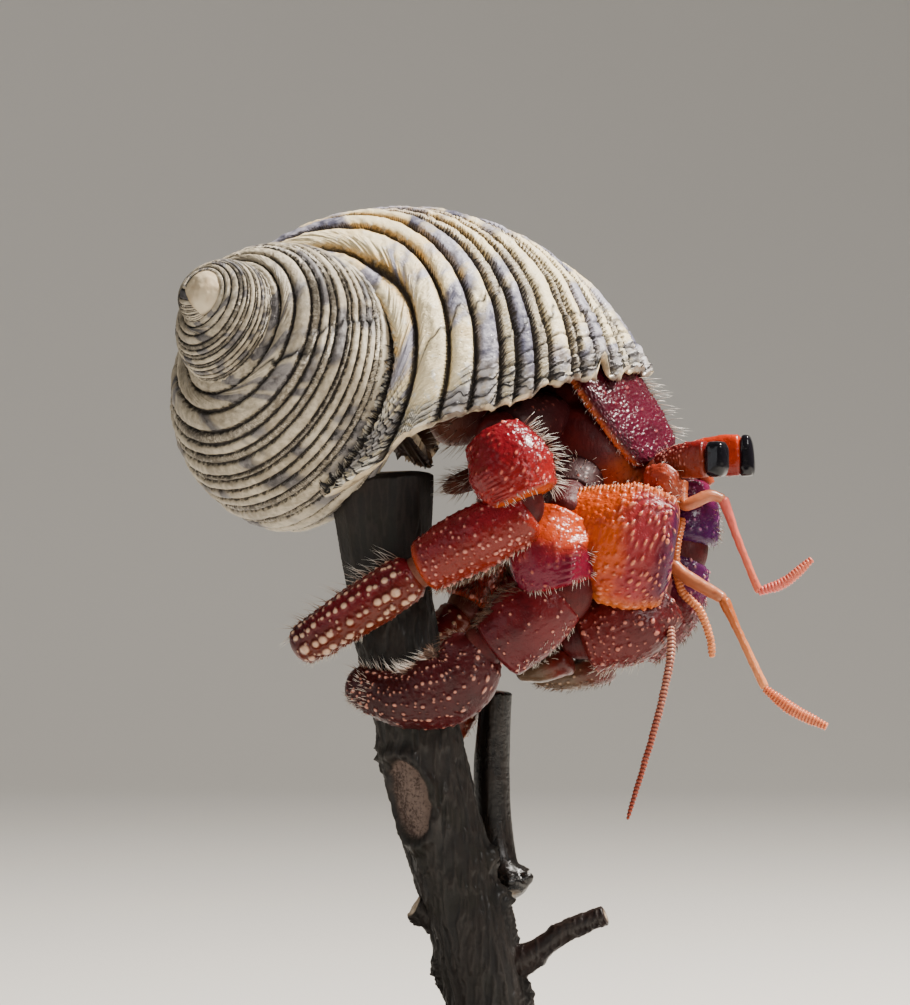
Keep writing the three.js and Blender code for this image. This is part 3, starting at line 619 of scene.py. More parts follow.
def cellBumps(along, around, length, girth, cell, radius, fill, lean, seed, slant, stretch):
    # one bead in each jittered cell of a grid laid over the tube; returns the height of the nearest bead;
    # slant turns each bead on the surface, in degrees, and stretch draws it out that way
    rows = max(2, round(length / cell))
    columns = max(4, round(float(np.median(girth)) / cell))
    jitter = 0.62
    s, t = along * rows, around * columns
    cosSlant, sinSlant = math.cos(math.radians(slant)), math.sin(math.radians(slant))
    best = np.zeros(s.shape)
    for i in (-1, 0, 1):
        for j in (-1, 0, 1):
            row, column = np.floor(s).astype(np.int64) + i, np.floor(t).astype(np.int64) + j
            key = column % columns
            ds = (row + 0.5 + jitter * (scatter(row, key, 1, seed) - 0.5) - s) * length / rows
            dt = (column + 0.5 + jitter * (scatter(row, key, 2, seed) - 0.5) - t) * girth / columns
            size = radius * (0.6 + 0.65 * scatter(row, key, 3, seed))
            longWay = ds * cosSlant + dt * sinSlant
            reach = np.sqrt((longWay / stretch) ** 2 + (dt * cosSlant - ds * sinSlant) ** 2) / size
            dome = np.clip(1 - reach * reach, 0, 1) ** 0.75 * (1 + lean * np.clip(-longWay / size, -1, 1))
            best = np.maximum(best, dome * size / radius * (scatter(row, key, 4, seed) < fill))
    return best * smoothStep(girth / np.median(girth), 0.25, 0.6)


def rowBumps(along, turns, length, girth, row, seed):
    # a row of tubercles: evenly spaced places along one line of the tube, each with a little jitter
    rowTurn, (low, high), count, radius = row[:4]
    s = (along - low) / (high - low) * count
    best = np.zeros(s.shape)
    for k in (-1, 0, 1):
        place = np.floor(s).astype(np.int64) + k
        jitter = scatter(place, 5, 0, seed) - 0.5
        ds = (place + 0.5 + 0.45 * jitter - s) * length * (high - low) / count
        lineTurn = rowTurn + 9 * (scatter(place, 9, 0, seed) - 0.5)
        dt = turnGap(turns, lineTurn) / 360 * girth
        size = radius * (0.75 + 0.5 * scatter(place, 7, 0, seed))
        reach = np.sqrt((ds * 0.8) ** 2 + dt * dt) / size
        inside = (place >= 0) & (place < count)
        best = np.maximum(best, np.clip(1 - reach, 0, 1) ** 0.8 * size / radius * inside * 1.15)
    return best


def limbSurface(spec, rows, columns):
    # rings about a smooth path: cosine and sine of the turn scaled by half the width and half the depth,
    # squared up by a power and drawn in to a point at both ends
    length = pathAt(spec["path"], np.array([0.0]))[1]
    end, crowding, roundness, smallest = spec.get("round", 0.09), 0.36, 2.4, 0.015
    step = np.linspace(0, 1, rows)
    t = step - crowding * np.sin(2 * math.pi * step) / (2 * math.pi)
    centre = pathAt(spec["path"], t)[0]
    ahead = unit(pathAt(spec["path"], t + 0.004)[0] - pathAt(spec["path"], t - 0.004)[0])
    side = np.asarray(spec.get("side", depthwise), float)
    right = unit(side - ahead * (ahead @ side)[:, None])
    up = np.cross(ahead, right)
    toEnd = np.clip(np.minimum(t, 1 - t) / end, 0, 1)
    bulge = np.maximum((1 - (1 - toEnd) ** roundness) ** (1 / roundness), smallest)
    halfWide = profileAt(spec["wide"], t) / 2 * bulge
    halfDeep = profileAt(spec["deep"], t) / 2 * bulge
    turn = np.linspace(0, 360, columns, endpoint=False)
    power = 2 / spec.get("square", 2.0)
    cosine, sine = np.cos(np.radians(turn)), np.sin(np.radians(turn))
    cosine = np.sign(cosine) * np.abs(cosine) ** power
    sine = np.sign(sine) * np.abs(sine) ** power
    points = (centre[:, None] + right[:, None] * (halfWide[:, None] * cosine)[..., None]
              + up[:, None] * (halfDeep[:, None] * sine)[..., None])
    girth = math.pi * (1.5 * (halfWide + halfDeep) - np.sqrt(halfWide * halfDeep))
    along = np.broadcast_to(t[:, None], points.shape[:2])
    turns = np.broadcast_to(turn[None], points.shape[:2])
    return points, along, turns, length, np.broadcast_to(np.maximum(girth, 0.5)[:, None], along.shape)


def outwardNormals(points):
    # normals that point away from the middle of each ring; the drawn-in ends don't count
    normals = gridNormals(points)
    if np.einsum("ijk,ijk->ij", normals, points - points.mean(1, keepdims=True))[5:-5].mean() < 0:
        normals = -normals
    return normals


def keepSurface(name, points, normals, along):
    # what the bristles need to know of a piece they grow on
    surfaces[name] = {"points": points, "normals": normals, "along": along[:, 0]}


def sideMask(turns, turn, spread):
    # a bell curve: 1 at the given turn, and about a third at the spread on both sides of it
    return np.exp(-(turnGap(turns, turn) / spread) ** 2)


def limbPiece(name, spec, material, slot):
    # a tube with a light swell, then beads, rows of tubercles, ridges and rings raised on it
    cell = spec["mesh"]
    length = pathAt(spec["path"], np.array([0.0]))[1]
    widest = math.pi * (max(spec["wide"]) + max(spec["deep"])) / 2
    rows = max(24, round(length * 1.25 / cell * spec.get("finer", 1)))
    columns = max(16, round(widest / cell))
    points, along, turns, length, girth = limbSurface(spec, rows, columns)
    normals = outwardNormals(points)
    # every piece has a seed of its own, made from the letters of its name
    seed = sum(ord(c) * (n + 3) for n, c in enumerate(name)) % 997
    x, y, z = points[..., 0], points[..., 1], points[..., 2]
    ends = smoothStep(along, 0.015, 0.10) * (1 - smoothStep(along, 0.90, 0.985))
    height = spec.get("swell", 0.16) * lattice(x * 0.33, y * 0.33, z * 0.33, seed) * ends
    height = height + 0.05 * lattice(x * 1.4, y * 1.4, z * 1.4, seed + 1) * ends
    bead, crest = np.zeros(x.shape), np.zeros(x.shape)
    for layer in spec.get("beads", ()):
        zone = np.ones(x.shape)
        if "turn" in layer:
            zone = smoothStep(sideMask(turns, layer["turn"], layer["spread"]), 0.15, 0.6)
        low, high = layer.get("span", (0.03, 0.97))
        zone = zone * window(along, low, high, 0.02, 0.03)
        bumps = cellBumps(along, turns / 360, length, girth, layer["cell"], layer["radius"],
                          layer.get("fill", 0.8), layer.get("lean", 0.3), seed + int(layer["cell"] * 100),
                          layer.get("slant", 0), layer.get("stretch", 1))
        height = height + bumps * zone * layer["height"]
        bead = np.maximum(bead, bumps * zone * layer.get("pale", 1.0))
    for n, row in enumerate(spec.get("rows", ())):
        rowHeight, pale = row[4:]
        bumps = rowBumps(along, turns, length, girth, row, seed + 31 * (n + 1))
        height = height + bumps * rowHeight
        bead = np.maximum(bead, bumps * pale)
    for ridge in spec.get("ridges", ()):
        low, high = ridge.get("span", (0.05, 0.95))
        line = sideMask(turns, ridge["turn"] + ridge.get("twist", 0) * (along - 0.5), ridge["spread"])
        reach = window(along, low, high, 0.04, 0.05)
        teeth = np.abs(np.sin(math.pi * ridge.get("teeth", 1) * (along - low) / (high - low)))
        bite = ridge.get("bite", 0.0)
        height = height + line * reach * ridge["height"] * (1 - bite + bite * teeth)
        crest = np.maximum(crest, line * reach)
    if "rings" in spec:
        count, depth = spec["rings"]
        ring = np.abs(np.sin(math.pi * count * along))
        height = height + depth * (ring - 0.5)
        crest = np.maximum(crest, ring)
    points = points + normals * height[..., None]
    lit = sideMask(turns, spec.get("litTurn", 270), 75)
    marks = closedMarks({"bead": bead, "crest": crest, "along": along, "lit": lit})
    keepSurface(name, points, normals, along)
    return meshPiece(name + "_shown", *closedGrid(points), material, marks, slot, replaces=(name,))


def chitinMaterial(name, base, second, tip, dark, shift=(0.3, 0.7), gloss=0.28, under=None, endTint=None,
                   crestTint=None, middle=None, mottle=0.5, coat=0.08, litLow=0.55):
    # glossy shell of a crab: two colours that change along the piece, pale beads, dark hollows
    beadGloss = 0.30
    shade = Shade(name)
    bead, crest, along, lit = (shade.mark(k) for k in ("bead", "crest", "along", "lit"))
    broad, fine = shade.noise(260, 3, 0.55), shade.noise(1500, 4, 0.6)
    reach = along + (broad - 0.5) * 0.4
    colour = shade.mix(shade.rise(reach, *shift), base, second)
    if middle:
        belt = shade.rise(reach, shift[0] - 0.15, shift[0] + 0.15) * (1 - shade.rise(reach, *shift))
        colour = shade.mix(belt, colour, middle)
    colour = shade.mix(shade.rise(broad, 0.45, 0.75) * mottle, colour, dark)
    if under:
        below = shade.rise(1 - lit + (broad - 0.5) * 0.3, litLow, litLow + 0.45)
        colour = shade.mix(below * 0.85, colour, under)
    if crestTint:
        colour = shade.mix(crest * 0.8, colour, crestTint)
    if endTint:
        ends = shade.rise(along + (broad - 0.5) * 0.08, 0.90, 0.98)
        colour = shade.mix(ends, colour, endTint)
    colour = shade.mix(shade.rise(bead + (fine - 0.5) * 0.25, 0.42, 0.95) * 0.92, colour, tip)
    pores = shade.cells(2600)
    height = fine * 0.35 + shade.rise(pores, 0.1, 0.5) * 0.3 + shade.noise(520, 3, 0.55) * 0.5
    return shade.finish(colour=colour, roughness=gloss + 0.22 * (fine - 0.4) + (beadGloss - gloss) * bead,
                        normal=shade.bump(height, 0.00014, 0.7), coat=coat, coatRoughness=0.14, specular=0.28,
                        subsurface=0.04, subsurfaceScale=0.0012, subsurfaceRadius=redGlow)


def corneaMaterial():
    shade = Shade("corneaBlack")
    facets = shade.cells(5200)
    return shade.finish(colour=shade.mix(shade.noise(200, 2), (0.002, 0.002, 0.003), (0.007, 0.005, 0.008)),
                        roughness=0.14 + 0.03 * facets, coat=0.15, coatRoughness=0.04, specular=0.35,
                        normal=shade.bump(facets, 0.00002, 0.25))


def feelerMaterial(name, pale, deep, tip, stripes=0.0):
    # pale joints between darker rings, with the colour running from root to tip
    shade = Shade(name)
    crest, along, fine = shade.mark("crest"), shade.mark("along"), shade.noise(900, 3, 0.6)
    colour = shade.mix(shade.rise(along + (fine - 0.5) * 0.3, 0.1, 0.9), pale, tip)
    colour = shade.mix((1 - shade.rise(crest, 0.55, 0.95)) * stripes, colour, deep)
    colour = shade.mix(shade.rise(fine, 0.52, 0.7) * 0.4, colour, deep)
    return shade.finish(colour=colour, roughness=0.34 + 0.2 * (fine - 0.5), coat=0.1, specular=0.35,
                        subsurface=0.1, subsurfaceScale=0.001, subsurfaceRadius=(1.0, 0.35, 0.2),
                        normal=shade.bump(fine, 0.00008, 0.5))


darkRed, palePink = (0.035, 0.002, 0.004), (0.72, 0.30, 0.24)
# chitin: colour of the root, colour of the far end, bead tops, hollows; feelers: root, rings, tip
finishes = {
    "shield": chitinMaterial("shieldPurple", (0.050, 0.001, 0.006), (0.070, 0.002, 0.013),
                             (0.26, 0.055, 0.062), (0.022, 0.001, 0.004), gloss=0.26,
                             crestTint=(0.52, 0.10, 0.015)),
    "stalk": chitinMaterial("stalkRed", (0.15, 0.003, 0.004), (0.17, 0.005, 0.004), palePink, darkRed,
                            under=(0.16, 0.020, 0.005), litLow=0.35),
    "rightCarpus": chitinMaterial("clawOrange", (0.47, 0.058, 0.004), (0.040, 0.003, 0.030),
                                  (0.66, 0.20, 0.11), (0.22, 0.014, 0.006), shift=(0.60, 0.97),
                                  middle=(0.22, 0.008, 0.030), gloss=0.30, crestTint=(0.56, 0.13, 0.02),
                                  mottle=0.55),
    "claw": chitinMaterial("clawMaroon", (0.075, 0.003, 0.004), (0.11, 0.006, 0.005), (0.50, 0.17, 0.12),
                           (0.022, 0.001, 0.002), gloss=0.36),
    "finger": chitinMaterial("fingerHorn", (0.10, 0.007, 0.004), (0.105, 0.062, 0.036), (0.34, 0.22, 0.14),
                             (0.020, 0.004, 0.003), shift=(0.20, 0.55), gloss=0.30),
    "farClaw": chitinMaterial("clawViolet", (0.13, 0.006, 0.040), (0.045, 0.005, 0.050), (0.42, 0.14, 0.30),
                              (0.020, 0.002, 0.014), gloss=0.22, shift=(0.1, 0.8)),
    "legCarpus": chitinMaterial("legCarpusRed", (0.16, 0.004, 0.008), (0.24, 0.010, 0.008),
                                (0.66, 0.15, 0.10), (0.085, 0.002, 0.005), shift=(0.4, 0.9), gloss=0.20,
                                endTint=(0.40, 0.06, 0.008)),
    "legPropodus": chitinMaterial("legPropodusRed", (0.19, 0.006, 0.011), (0.15, 0.005, 0.007),
                                  (0.66, 0.26, 0.20), (0.075, 0.002, 0.005), gloss=0.24,
                                  endTint=(0.34, 0.036, 0.006), under=(0.18, 0.014, 0.004)),
    "legDactyl": chitinMaterial("legDactylRed", (0.12, 0.002, 0.005), (0.055, 0.001, 0.003),
                                (0.66, 0.42, 0.28), (0.030, 0.001, 0.003), gloss=0.30,
                                under=(0.11, 0.016, 0.004), shift=(0.5, 1.0)),
    "lowCarpus": chitinMaterial("lowCarpusOrange", (0.44, 0.048, 0.006), (0.14, 0.004, 0.020),
                                (0.64, 0.18, 0.10), (0.11, 0.004, 0.006), gloss=0.20, shift=(0.3, 0.7),
                                endTint=(0.22, 0.010, 0.012)),
    "lowPropodus": chitinMaterial("lowPropodusRed", (0.115, 0.003, 0.005), (0.085, 0.003, 0.005),
                                  (0.60, 0.24, 0.17), (0.026, 0.001, 0.003), gloss=0.32),
    "lowDactyl": chitinMaterial("lowDactylMaroon", (0.055, 0.002, 0.003), (0.036, 0.002, 0.002),
                                (0.62, 0.27, 0.19), (0.014, 0.001, 0.001), gloss=0.36),
    # painted shade: the meruses and mouthparts that lie under the body and the shell are a near-black red
    "plain": chitinMaterial("paintedShadeRed", (0.034, 0.001, 0.002), (0.022, 0.001, 0.001), (0.20, 0.05, 0.035),
                            darkRed, gloss=0.62, coat=0.0),
    "scale": chitinMaterial("antennaScale", (0.26, 0.030, 0.012), (0.34, 0.060, 0.022), palePink,
                            (0.12, 0.007, 0.004), gloss=0.3),
    "farStalk": chitinMaterial("farStalkOrange", (0.36, 0.022, 0.006), (0.42, 0.030, 0.006), palePink,
                               (0.14, 0.004, 0.004), under=(0.12, 0.006, 0.005), gloss=0.2),
    "farPalm": chitinMaterial("farPalmViolet", (0.060, 0.006, 0.050), (0.10, 0.004, 0.006),
                              (0.46, 0.19, 0.19), (0.020, 0.001, 0.004), gloss=0.28, shift=(0.1, 0.55)),
    "cornea": corneaMaterial(),
    "whip": feelerMaterial("whipBeads", (0.66, 0.36, 0.24), (0.13, 0.014, 0.006), (0.30, 0.05, 0.02), 0.9),
    "feelerRed": feelerMaterial("feelerRose", (0.66, 0.13, 0.10), (0.36, 0.040, 0.03),
                                (0.70, 0.17, 0.09), 0.2),
    "feelerBase": feelerMaterial("feelerCream", (0.36, 0.075, 0.022), (0.26, 0.04, 0.012),
                                 (0.46, 0.15, 0.065)),
    "feelerTan": feelerMaterial("feelerTan", (0.40, 0.095, 0.02), (0.20, 0.032, 0.008), (0.70, 0.24, 0.09)),
    "feelerComb": feelerMaterial("feelerComb", (0.70, 0.16, 0.05), (0.30, 0.04, 0.012), (0.76, 0.22, 0.09),
                                 0.6),
}
scales = {"cell": 0.85, "radius": 0.40, "height": 0.10, "fill": 0.85, "lean": 0.7, "pale": 0.42}
grains = {"cell": 0.95, "radius": 0.30, "height": 0.14, "fill": 0.6}
fewGrains = {"cell": 1.25, "radius": 0.24, "height": 0.14, "fill": 0.6, "pale": 0.85}
# "beads" are scattered beads, "rows" are rows of tubercles: turn, span, count, radius, height, paleness
limbs = {
    "carapace_shield": {
        "path": ((18.4, 2.81, 115.48), (23.78, 2.36, 108.27), (29.27, 2.11, 100.15)),
        "side": bodySide, "wide": (13, 15.6, 16.2, 15.6, 12), "deep": (4.2, 4.6, 4.6, 4.4, 3.6),
        "round": 0.1, "square": 2.5, "finish": "shield", "mesh": 0.16,
        "beads": ({"cell": 0.56, "radius": 0.25, "height": 0.13, "fill": 0.85, "pale": 0.40},
                  {"cell": 1.0, "radius": 0.27, "height": 0.16, "fill": 0.5, "pale": 0.85}),
        "ridges": ({"turn": 186, "spread": 8, "height": 0.30, "teeth": 34, "bite": 0.5},),
    },
    "eyestalk_right": {
        "path": ((28.8, -3.2, 99.2), (32.4, -5.6, 100), (35.9, -7.7, 100.3)), "side": (0.3, 0.95, 0),
        "wide": (2.6, 3, 3.2, 3.2), "deep": (3.2, 4.4, 5.2, 5.2), "round": 0.1, "square": 3.0,
        "finish": "stalk", "mesh": 0.09, "litTurn": 90, "swell": 0.06,
        "beads": ({"cell": 0.50, "radius": 0.24, "height": 0.13, "turn": 115, "spread": 75,
                   "span": (0, 0.72)},),
    },
    "eyestalk_left": {
        "path": ((31.2, 1.6, 99.8), (35.6, 0.4, 100.6), (41.2, -0.7, 100.9)), "side": (0.2, 0.95, 0),
        "wide": (2.6, 3, 3.2, 3.2), "deep": (3.2, 4.8, 5.9, 6), "round": 0.1, "square": 3.0,
        "finish": "farStalk", "mesh": 0.12, "litTurn": 90, "swell": 0.06,
        "beads": ({"cell": 0.52, "radius": 0.22, "height": 0.06, "turn": 90, "spread": 40,
                   "span": (0, 0.5)},),
    },
    "cornea_right": {
        "path": ((35.6, -7.6, 100.2), (37, -8.4, 100.2), (38.4, -9.2, 100.2)), "side": (0.3, 0.95, 0),
        "wide": (3, 3, 2.6), "deep": (5.0, 5.1, 4.7), "round": 0.3, "square": 4.2, "finish": "cornea",
        "mesh": 0.12, "swell": 0.0,
    },
    "cornea_left": {
        "path": ((40.6, -0.6, 100.8), (41.6, -0.8, 100.8), (42.7, -1, 100.9)), "side": (0.2, 0.95, 0),
        "wide": (3, 3, 2.6), "deep": (5.9, 6.0, 5.6), "round": 0.3, "square": 4.2, "finish": "cornea",
        "mesh": 0.12, "swell": 0.0,
    },
    "cheliped_right_carpus": {
        "path": ((14.2, -8, 91.4), (22.4, -9.6, 88.5), (30.9, -9.6, 87)),
        "wide": (7, 9.2, 9.6, 8.4), "deep": (9, 14.5, 17.2, 14.8), "round": 0.1, "square": 2.5,
        "finish": "rightCarpus", "mesh": 0.14, "litTurn": 90,
        "beads": ({"cell": 0.66, "radius": 0.30, "height": 0.11, "lean": 0.8, "pale": 0.36, "slant": -75,
                   "stretch": 1.5, "span": (0.03, 0.62)},
                  {"cell": 1.02, "radius": 0.27, "height": 0.26, "fill": 0.85, "lean": 0.5, "slant": -52,
                   "stretch": 2.3, "span": (0.46, 0.90), "pale": 0.85},
                  {"cell": 0.95, "radius": 0.30, "height": 0.26, "fill": 0.75, "span": (0.86, 1.0)}),
        "ridges": ({"turn": 108, "spread": 9, "height": 0.55, "teeth": 30, "bite": 0.6},
                   {"turn": 252, "spread": 14, "height": 0.5, "span": (0.45, 0.95), "teeth": 9, "bite": 0.3}),
    },
    "cheliped_right_palm": {
        "path": ((30, -6, 81), (25.2, -7.6, 77.2), (17.8, -6.8, 74.6)),
        "wide": (6, 7.6, 7), "deep": (8.4, 11, 9.6), "finish": "claw", "mesh": 0.16,
        "beads": ({"cell": 0.75, "radius": 0.22, "height": 0.15, "fill": 0.8, "pale": 0.8},
                  {"cell": 1.5, "radius": 0.34, "height": 0.22, "fill": 0.6}),
    },
    "cheliped_right_finger": {
        "path": ((16.6, -6.4, 72), (12.8, -5.6, 70.4), (8.8, -4, 69.8)),
        "wide": (5.4, 4.4, 2.6), "deep": (4.4, 3.4, 2.2), "round": 0.16, "finish": "finger", "mesh": 0.2,
        "rows": ((270, (0.1, 0.95), 8, 0.5, 0.35, 0.5),),
    },
    "cheliped_right_dactyl": {
        "path": ((16.8, -6.6, 77), (12.4, -5.6, 74.6), (8.6, -4, 72.6)),
        "wide": (5.2, 4.4, 2.6), "deep": (4.6, 3.6, 2.2), "round": 0.16, "finish": "finger", "mesh": 0.2,
        "beads": (fewGrains,),
    },
    "cheliped_right_merus": {
        "path": ((22.6, 0.4, 95), (18.2, -1.6, 92.6), (14.2, -3.2, 90.4)),
        "wide": (5, 5.6, 5), "deep": (7, 8.4, 7.4), "round": 0.14, "finish": "plain", "mesh": 0.3,
        "beads": (grains,),
    },
    "cheliped_left_merus": {
        "path": ((25.5, 8, 96.5), (29, 8.4, 97), (32.6, 6.6, 97.8)),
        "wide": (6, 6.6, 5.6), "deep": (6.6, 7.4, 6.4), "round": 0.14, "finish": "farClaw", "mesh": 0.3,
        "beads": (grains,),
    },
    "cheliped_left_carpus": {
        "path": ((32.6, 4, 97.2), (33.4, 3.6, 92.4), (33.2, 2.8, 87.6)),
        "wide": (6.4, 8, 7.6), "deep": (6.4, 8.8, 8.6), "round": 0.14, "finish": "farClaw", "mesh": 0.2,
        "beads": ({"cell": 1.0, "radius": 0.32, "height": 0.14, "fill": 0.6, "pale": 0.7},),
    },
    "cheliped_left_palm": {
        "path": ((32.4, 2.2, 86.8), (29.6, 1.4, 80.4), (24, 0.4, 74.6)),
        "wide": (6.6, 8.4, 8), "deep": (9, 12.6, 11.6), "round": 0.1, "finish": "farPalm", "mesh": 0.2,
        "beads": ({"cell": 0.8, "radius": 0.24, "height": 0.16, "fill": 0.8, "pale": 0.8},
                  {"cell": 1.5, "radius": 0.34, "height": 0.22, "fill": 0.6}),
    },
    "cheliped_left_finger": {
        "path": ((22.6, 0, 71.4), (16.6, -0.6, 69.2), (11, -0.4, 69)),
        "wide": (6.4, 5.4, 2.8), "deep": (5.4, 4, 2.2), "round": 0.14, "finish": "finger", "mesh": 0.2,
        "beads": (grains,),
        "rows": ((270, (0.1, 0.95), 10, 0.55, 0.4, 0.5),),
    },
    "cheliped_left_dactyl": {
        "path": ((20.6, 0.4, 77), (15.6, 0, 74.4), (10.6, 0, 71.8)),
        "wide": (6, 5, 2.8), "deep": (5.4, 4, 2.2), "round": 0.14, "finish": "finger", "mesh": 0.22,
        "beads": (grains,),
    },
    "leg2_right_merus": {
        "path": ((18, 0.6, 100.2), (17.2, -3.8, 96.6), (16.4, -6.4, 94.6)), "side": sideways,
        "wide": (7, 8, 7), "deep": (6, 7.4, 6.6), "finish": "plain", "mesh": 0.3, "beads": (grains,),
    },
    "leg2_right_carpus": {
        "path": ((15.6, -10.6, 92.6), (13.4, -12.8, 87.4), (14.6, -13, 81.8)),
        "wide": (6, 8, 7.4), "deep": (7.4, 11.6, 10.6), "finish": "lowCarpus", "mesh": 0.16, "litTurn": 90,
        "beads": ({"cell": 0.9, "radius": 0.36, "height": 0.12, "fill": 0.55, "pale": 0.6},),
        "ridges": ({"turn": 140, "twist": 60, "spread": 13, "height": 0.8, "teeth": 12, "bite": 0.25},
                   {"turn": 88, "spread": 10, "height": 0.4, "teeth": 14, "bite": 0.6}),
        "rows": ((96, (0.1, 0.95), 13, 0.30, 0.22, 1.0),),
    },
    "leg2_right_propodus": {
        "path": ((15.6, -12.8, 81.2), (11, -12.8, 77.6), (5.4, -11.6, 73.2)),
        "wide": (6, 7.4, 6.6), "deep": (8, 10.4, 9.4), "finish": "lowPropodus", "mesh": 0.15,
        "beads": (fewGrains,),
        "ridges": ({"turn": 262, "spread": 16, "height": 0.55, "span": (0.05, 0.7)},),
        "rows": ((120, (0.1, 0.95), 11, 0.30, 0.22, 1.0),),
    },
    "leg2_right_dactyl": {
        "path": ((2.6, -11, 75.4), (1, -10.8, 69.6), (-6.4, -9.4, 66.4), (-15.2, -5.2, 68.6)),
        "wide": (5, 6, 5.4, 4.2), "deep": (7.4, 10.8, 7.6, 5.4), "finish": "lowDactyl",
        "mesh": 0.15, "beads": ({"cell": 0.95, "radius": 0.26, "height": 0.16, "fill": 0.7, "pale": 0.7},),
        "ridges": ({"turn": 255, "spread": 20, "height": 0.4, "span": (0.0, 0.5)},),
        "rows": ((138, (0.06, 0.92), 17, 0.34, 0.26, 1.0),
                 (168, (0.06, 0.92), 19, 0.34, 0.26, 1.0),
                 (198, (0.08, 0.90), 18, 0.34, 0.26, 1.0),
                 (226, (0.10, 0.90), 17, 0.32, 0.24, 1.0)),
    },
    "leg3_right_merus": {
        "path": ((14.2, 0.4, 106.4), (9.6, -6, 105.4), (6.4, -9.4, 104)), "side": sideways,
        "wide": (7, 8.4, 8), "deep": (6.6, 8, 7.6), "finish": "plain", "mesh": 0.3, "beads": (grains,),
    },
    "leg3_right_carpus": {
        "path": ((5.2, -12.6, 103.6), (7.6, -15, 99.2), (9.8, -16, 94.2)),
        "wide": (7.4, 9, 7.8), "deep": (8.6, 11.8, 9.8), "finish": "legCarpus", "mesh": 0.14, "litTurn": 90,
        "beads": (scales, {"cell": 1.25, "radius": 0.26, "height": 0.14, "fill": 0.6, "pale": 0.8,
                           "stretch": 1.8, "slant": 60}),
        "ridges": ({"turn": 215, "spread": 12, "height": 0.35, "teeth": 9, "bite": 0.6,
                    "span": (0.5, 0.95)},),
    },
    "leg3_right_propodus": {
        "path": ((11, -16, 92.8), (3.6, -15, 89.2), (-5, -12.4, 84.6)),
        "wide": (6, 6.8, 5.8), "deep": (7.4, 8.8, 7.4), "finish": "legPropodus", "mesh": 0.14,
        "beads": ({"cell": 0.95, "radius": 0.30, "height": 0.14, "fill": 0.75, "pale": 0.75, "lean": 0.6},),
        "ridges": ({"turn": 262, "spread": 22, "height": 0.35, "span": (0.3, 0.95)},),
        "rows": ((112, (0.12, 0.95), 17, 0.36, 0.30, 1.0),
                 (140, (0.10, 0.95), 14, 0.36, 0.26, 1.0),
                 (172, (0.40, 0.95), 9, 0.42, 0.2, 0.8)),
    },
    "leg3_right_dactyl": {
        "path": ((-5, -12.2, 84.4), (-13.6, -10.4, 78.9), (-22.6, -6.2, 73)),
        "wide": (5, 5.6, 5.4, 4.2), "deep": (6.2, 7, 6.6, 5.2), "finish": "legDactyl", "mesh": 0.13,
        "beads": ({"cell": 0.95, "radius": 0.30, "height": 0.16, "fill": 0.7, "pale": 0.7},),
        "rows": ((138, (0.08, 0.93), 13, 0.62, 0.46, 1.0),
                 (170, (0.15, 0.90), 11, 0.72, 0.52, 1.0),
                 (208, (0.06, 0.93), 15, 0.50, 0.34, 1.0),
                 (238, (0.06, 0.93), 16, 0.42, 0.28, 1.0),
                 (265, (0.06, 0.93), 18, 0.38, 0.24, 1.0)),
    },
}
# the far legs: path, widths and depths of each joint
farLegs = {
    "leg2_left": {
        "merus": (((22.4, 10.4, 103), (19.4, 14.6, 98), (15.6, 17, 93)), (7, 8, 7), (6.4, 7.6, 6.6)),
        "carpus": (((14.8, 17.2, 92), (12, 17.2, 87.6), (10.4, 16, 83.4)), (6, 7.4, 6.6), (7, 9, 8)),
        "propodus": (((9.8, 15.6, 82.4), (6.6, 13.8, 77), (3.4, 12, 71.2)), (6, 6.6, 5.6), (7, 8, 6.8)),
        "dactyl": (((2.6, 11.6, 70), (0.8, 10, 64.6), (-1.8, 8.8, 60), (-5.6, 7.8, 57)),
                   (4.6, 4.8, 4.2, 3), (5.8, 6, 5, 3.4)),
    },
    "leg3_left": {
        "merus": (((17, 11, 109.6), (13.4, 15.4, 105), (9.6, 17, 100.6)), (7, 8, 7), (6.4, 7.6, 6.6)),
        "carpus": (((9, 17, 99.8), (7.4, 16.6, 95.4), (6.4, 15.6, 91.2)), (6, 7, 6.6), (6.8, 8, 7)),
        "propodus": (((6, 15.2, 90.2), (4, 13.8, 85), (1.4, 12, 79.4)), (5.6, 6.2, 5.4), (6.4, 7.2, 6.2)),
        "dactyl": (((0.8, 11.4, 78.4), (-3, 9.6, 74), (-8, 8.2, 71.6), (-12.6, 6.6, 71)),
                   (4.6, 4.6, 4, 3), (5.4, 5.4, 4.6, 3.2)),
    },
}
jointFinish = {"merus": "plain", "carpus": "legCarpus", "propodus": "legPropodus", "dactyl": "legDactyl"}
for leg, joints in farLegs.items():
    for joint, (path, wide, deep) in joints.items():
        limbs[leg + "_" + joint] = {
            "path": path, "wide": wide, "deep": deep, "mesh": 0.24, "finish": jointFinish[joint],
            "side": (0.9, 0.2, 0) if joint == "merus" else depthwise,
            "beads": ({"cell": 1.1, "radius": 0.34, "height": 0.2, "fill": 0.7},),
            "rows": ((0, (0.08, 0.92), 12, 0.45, 0.34, 1.0), (35, (0.08, 0.92), 12, 0.40, 0.3, 1.0)),
        }


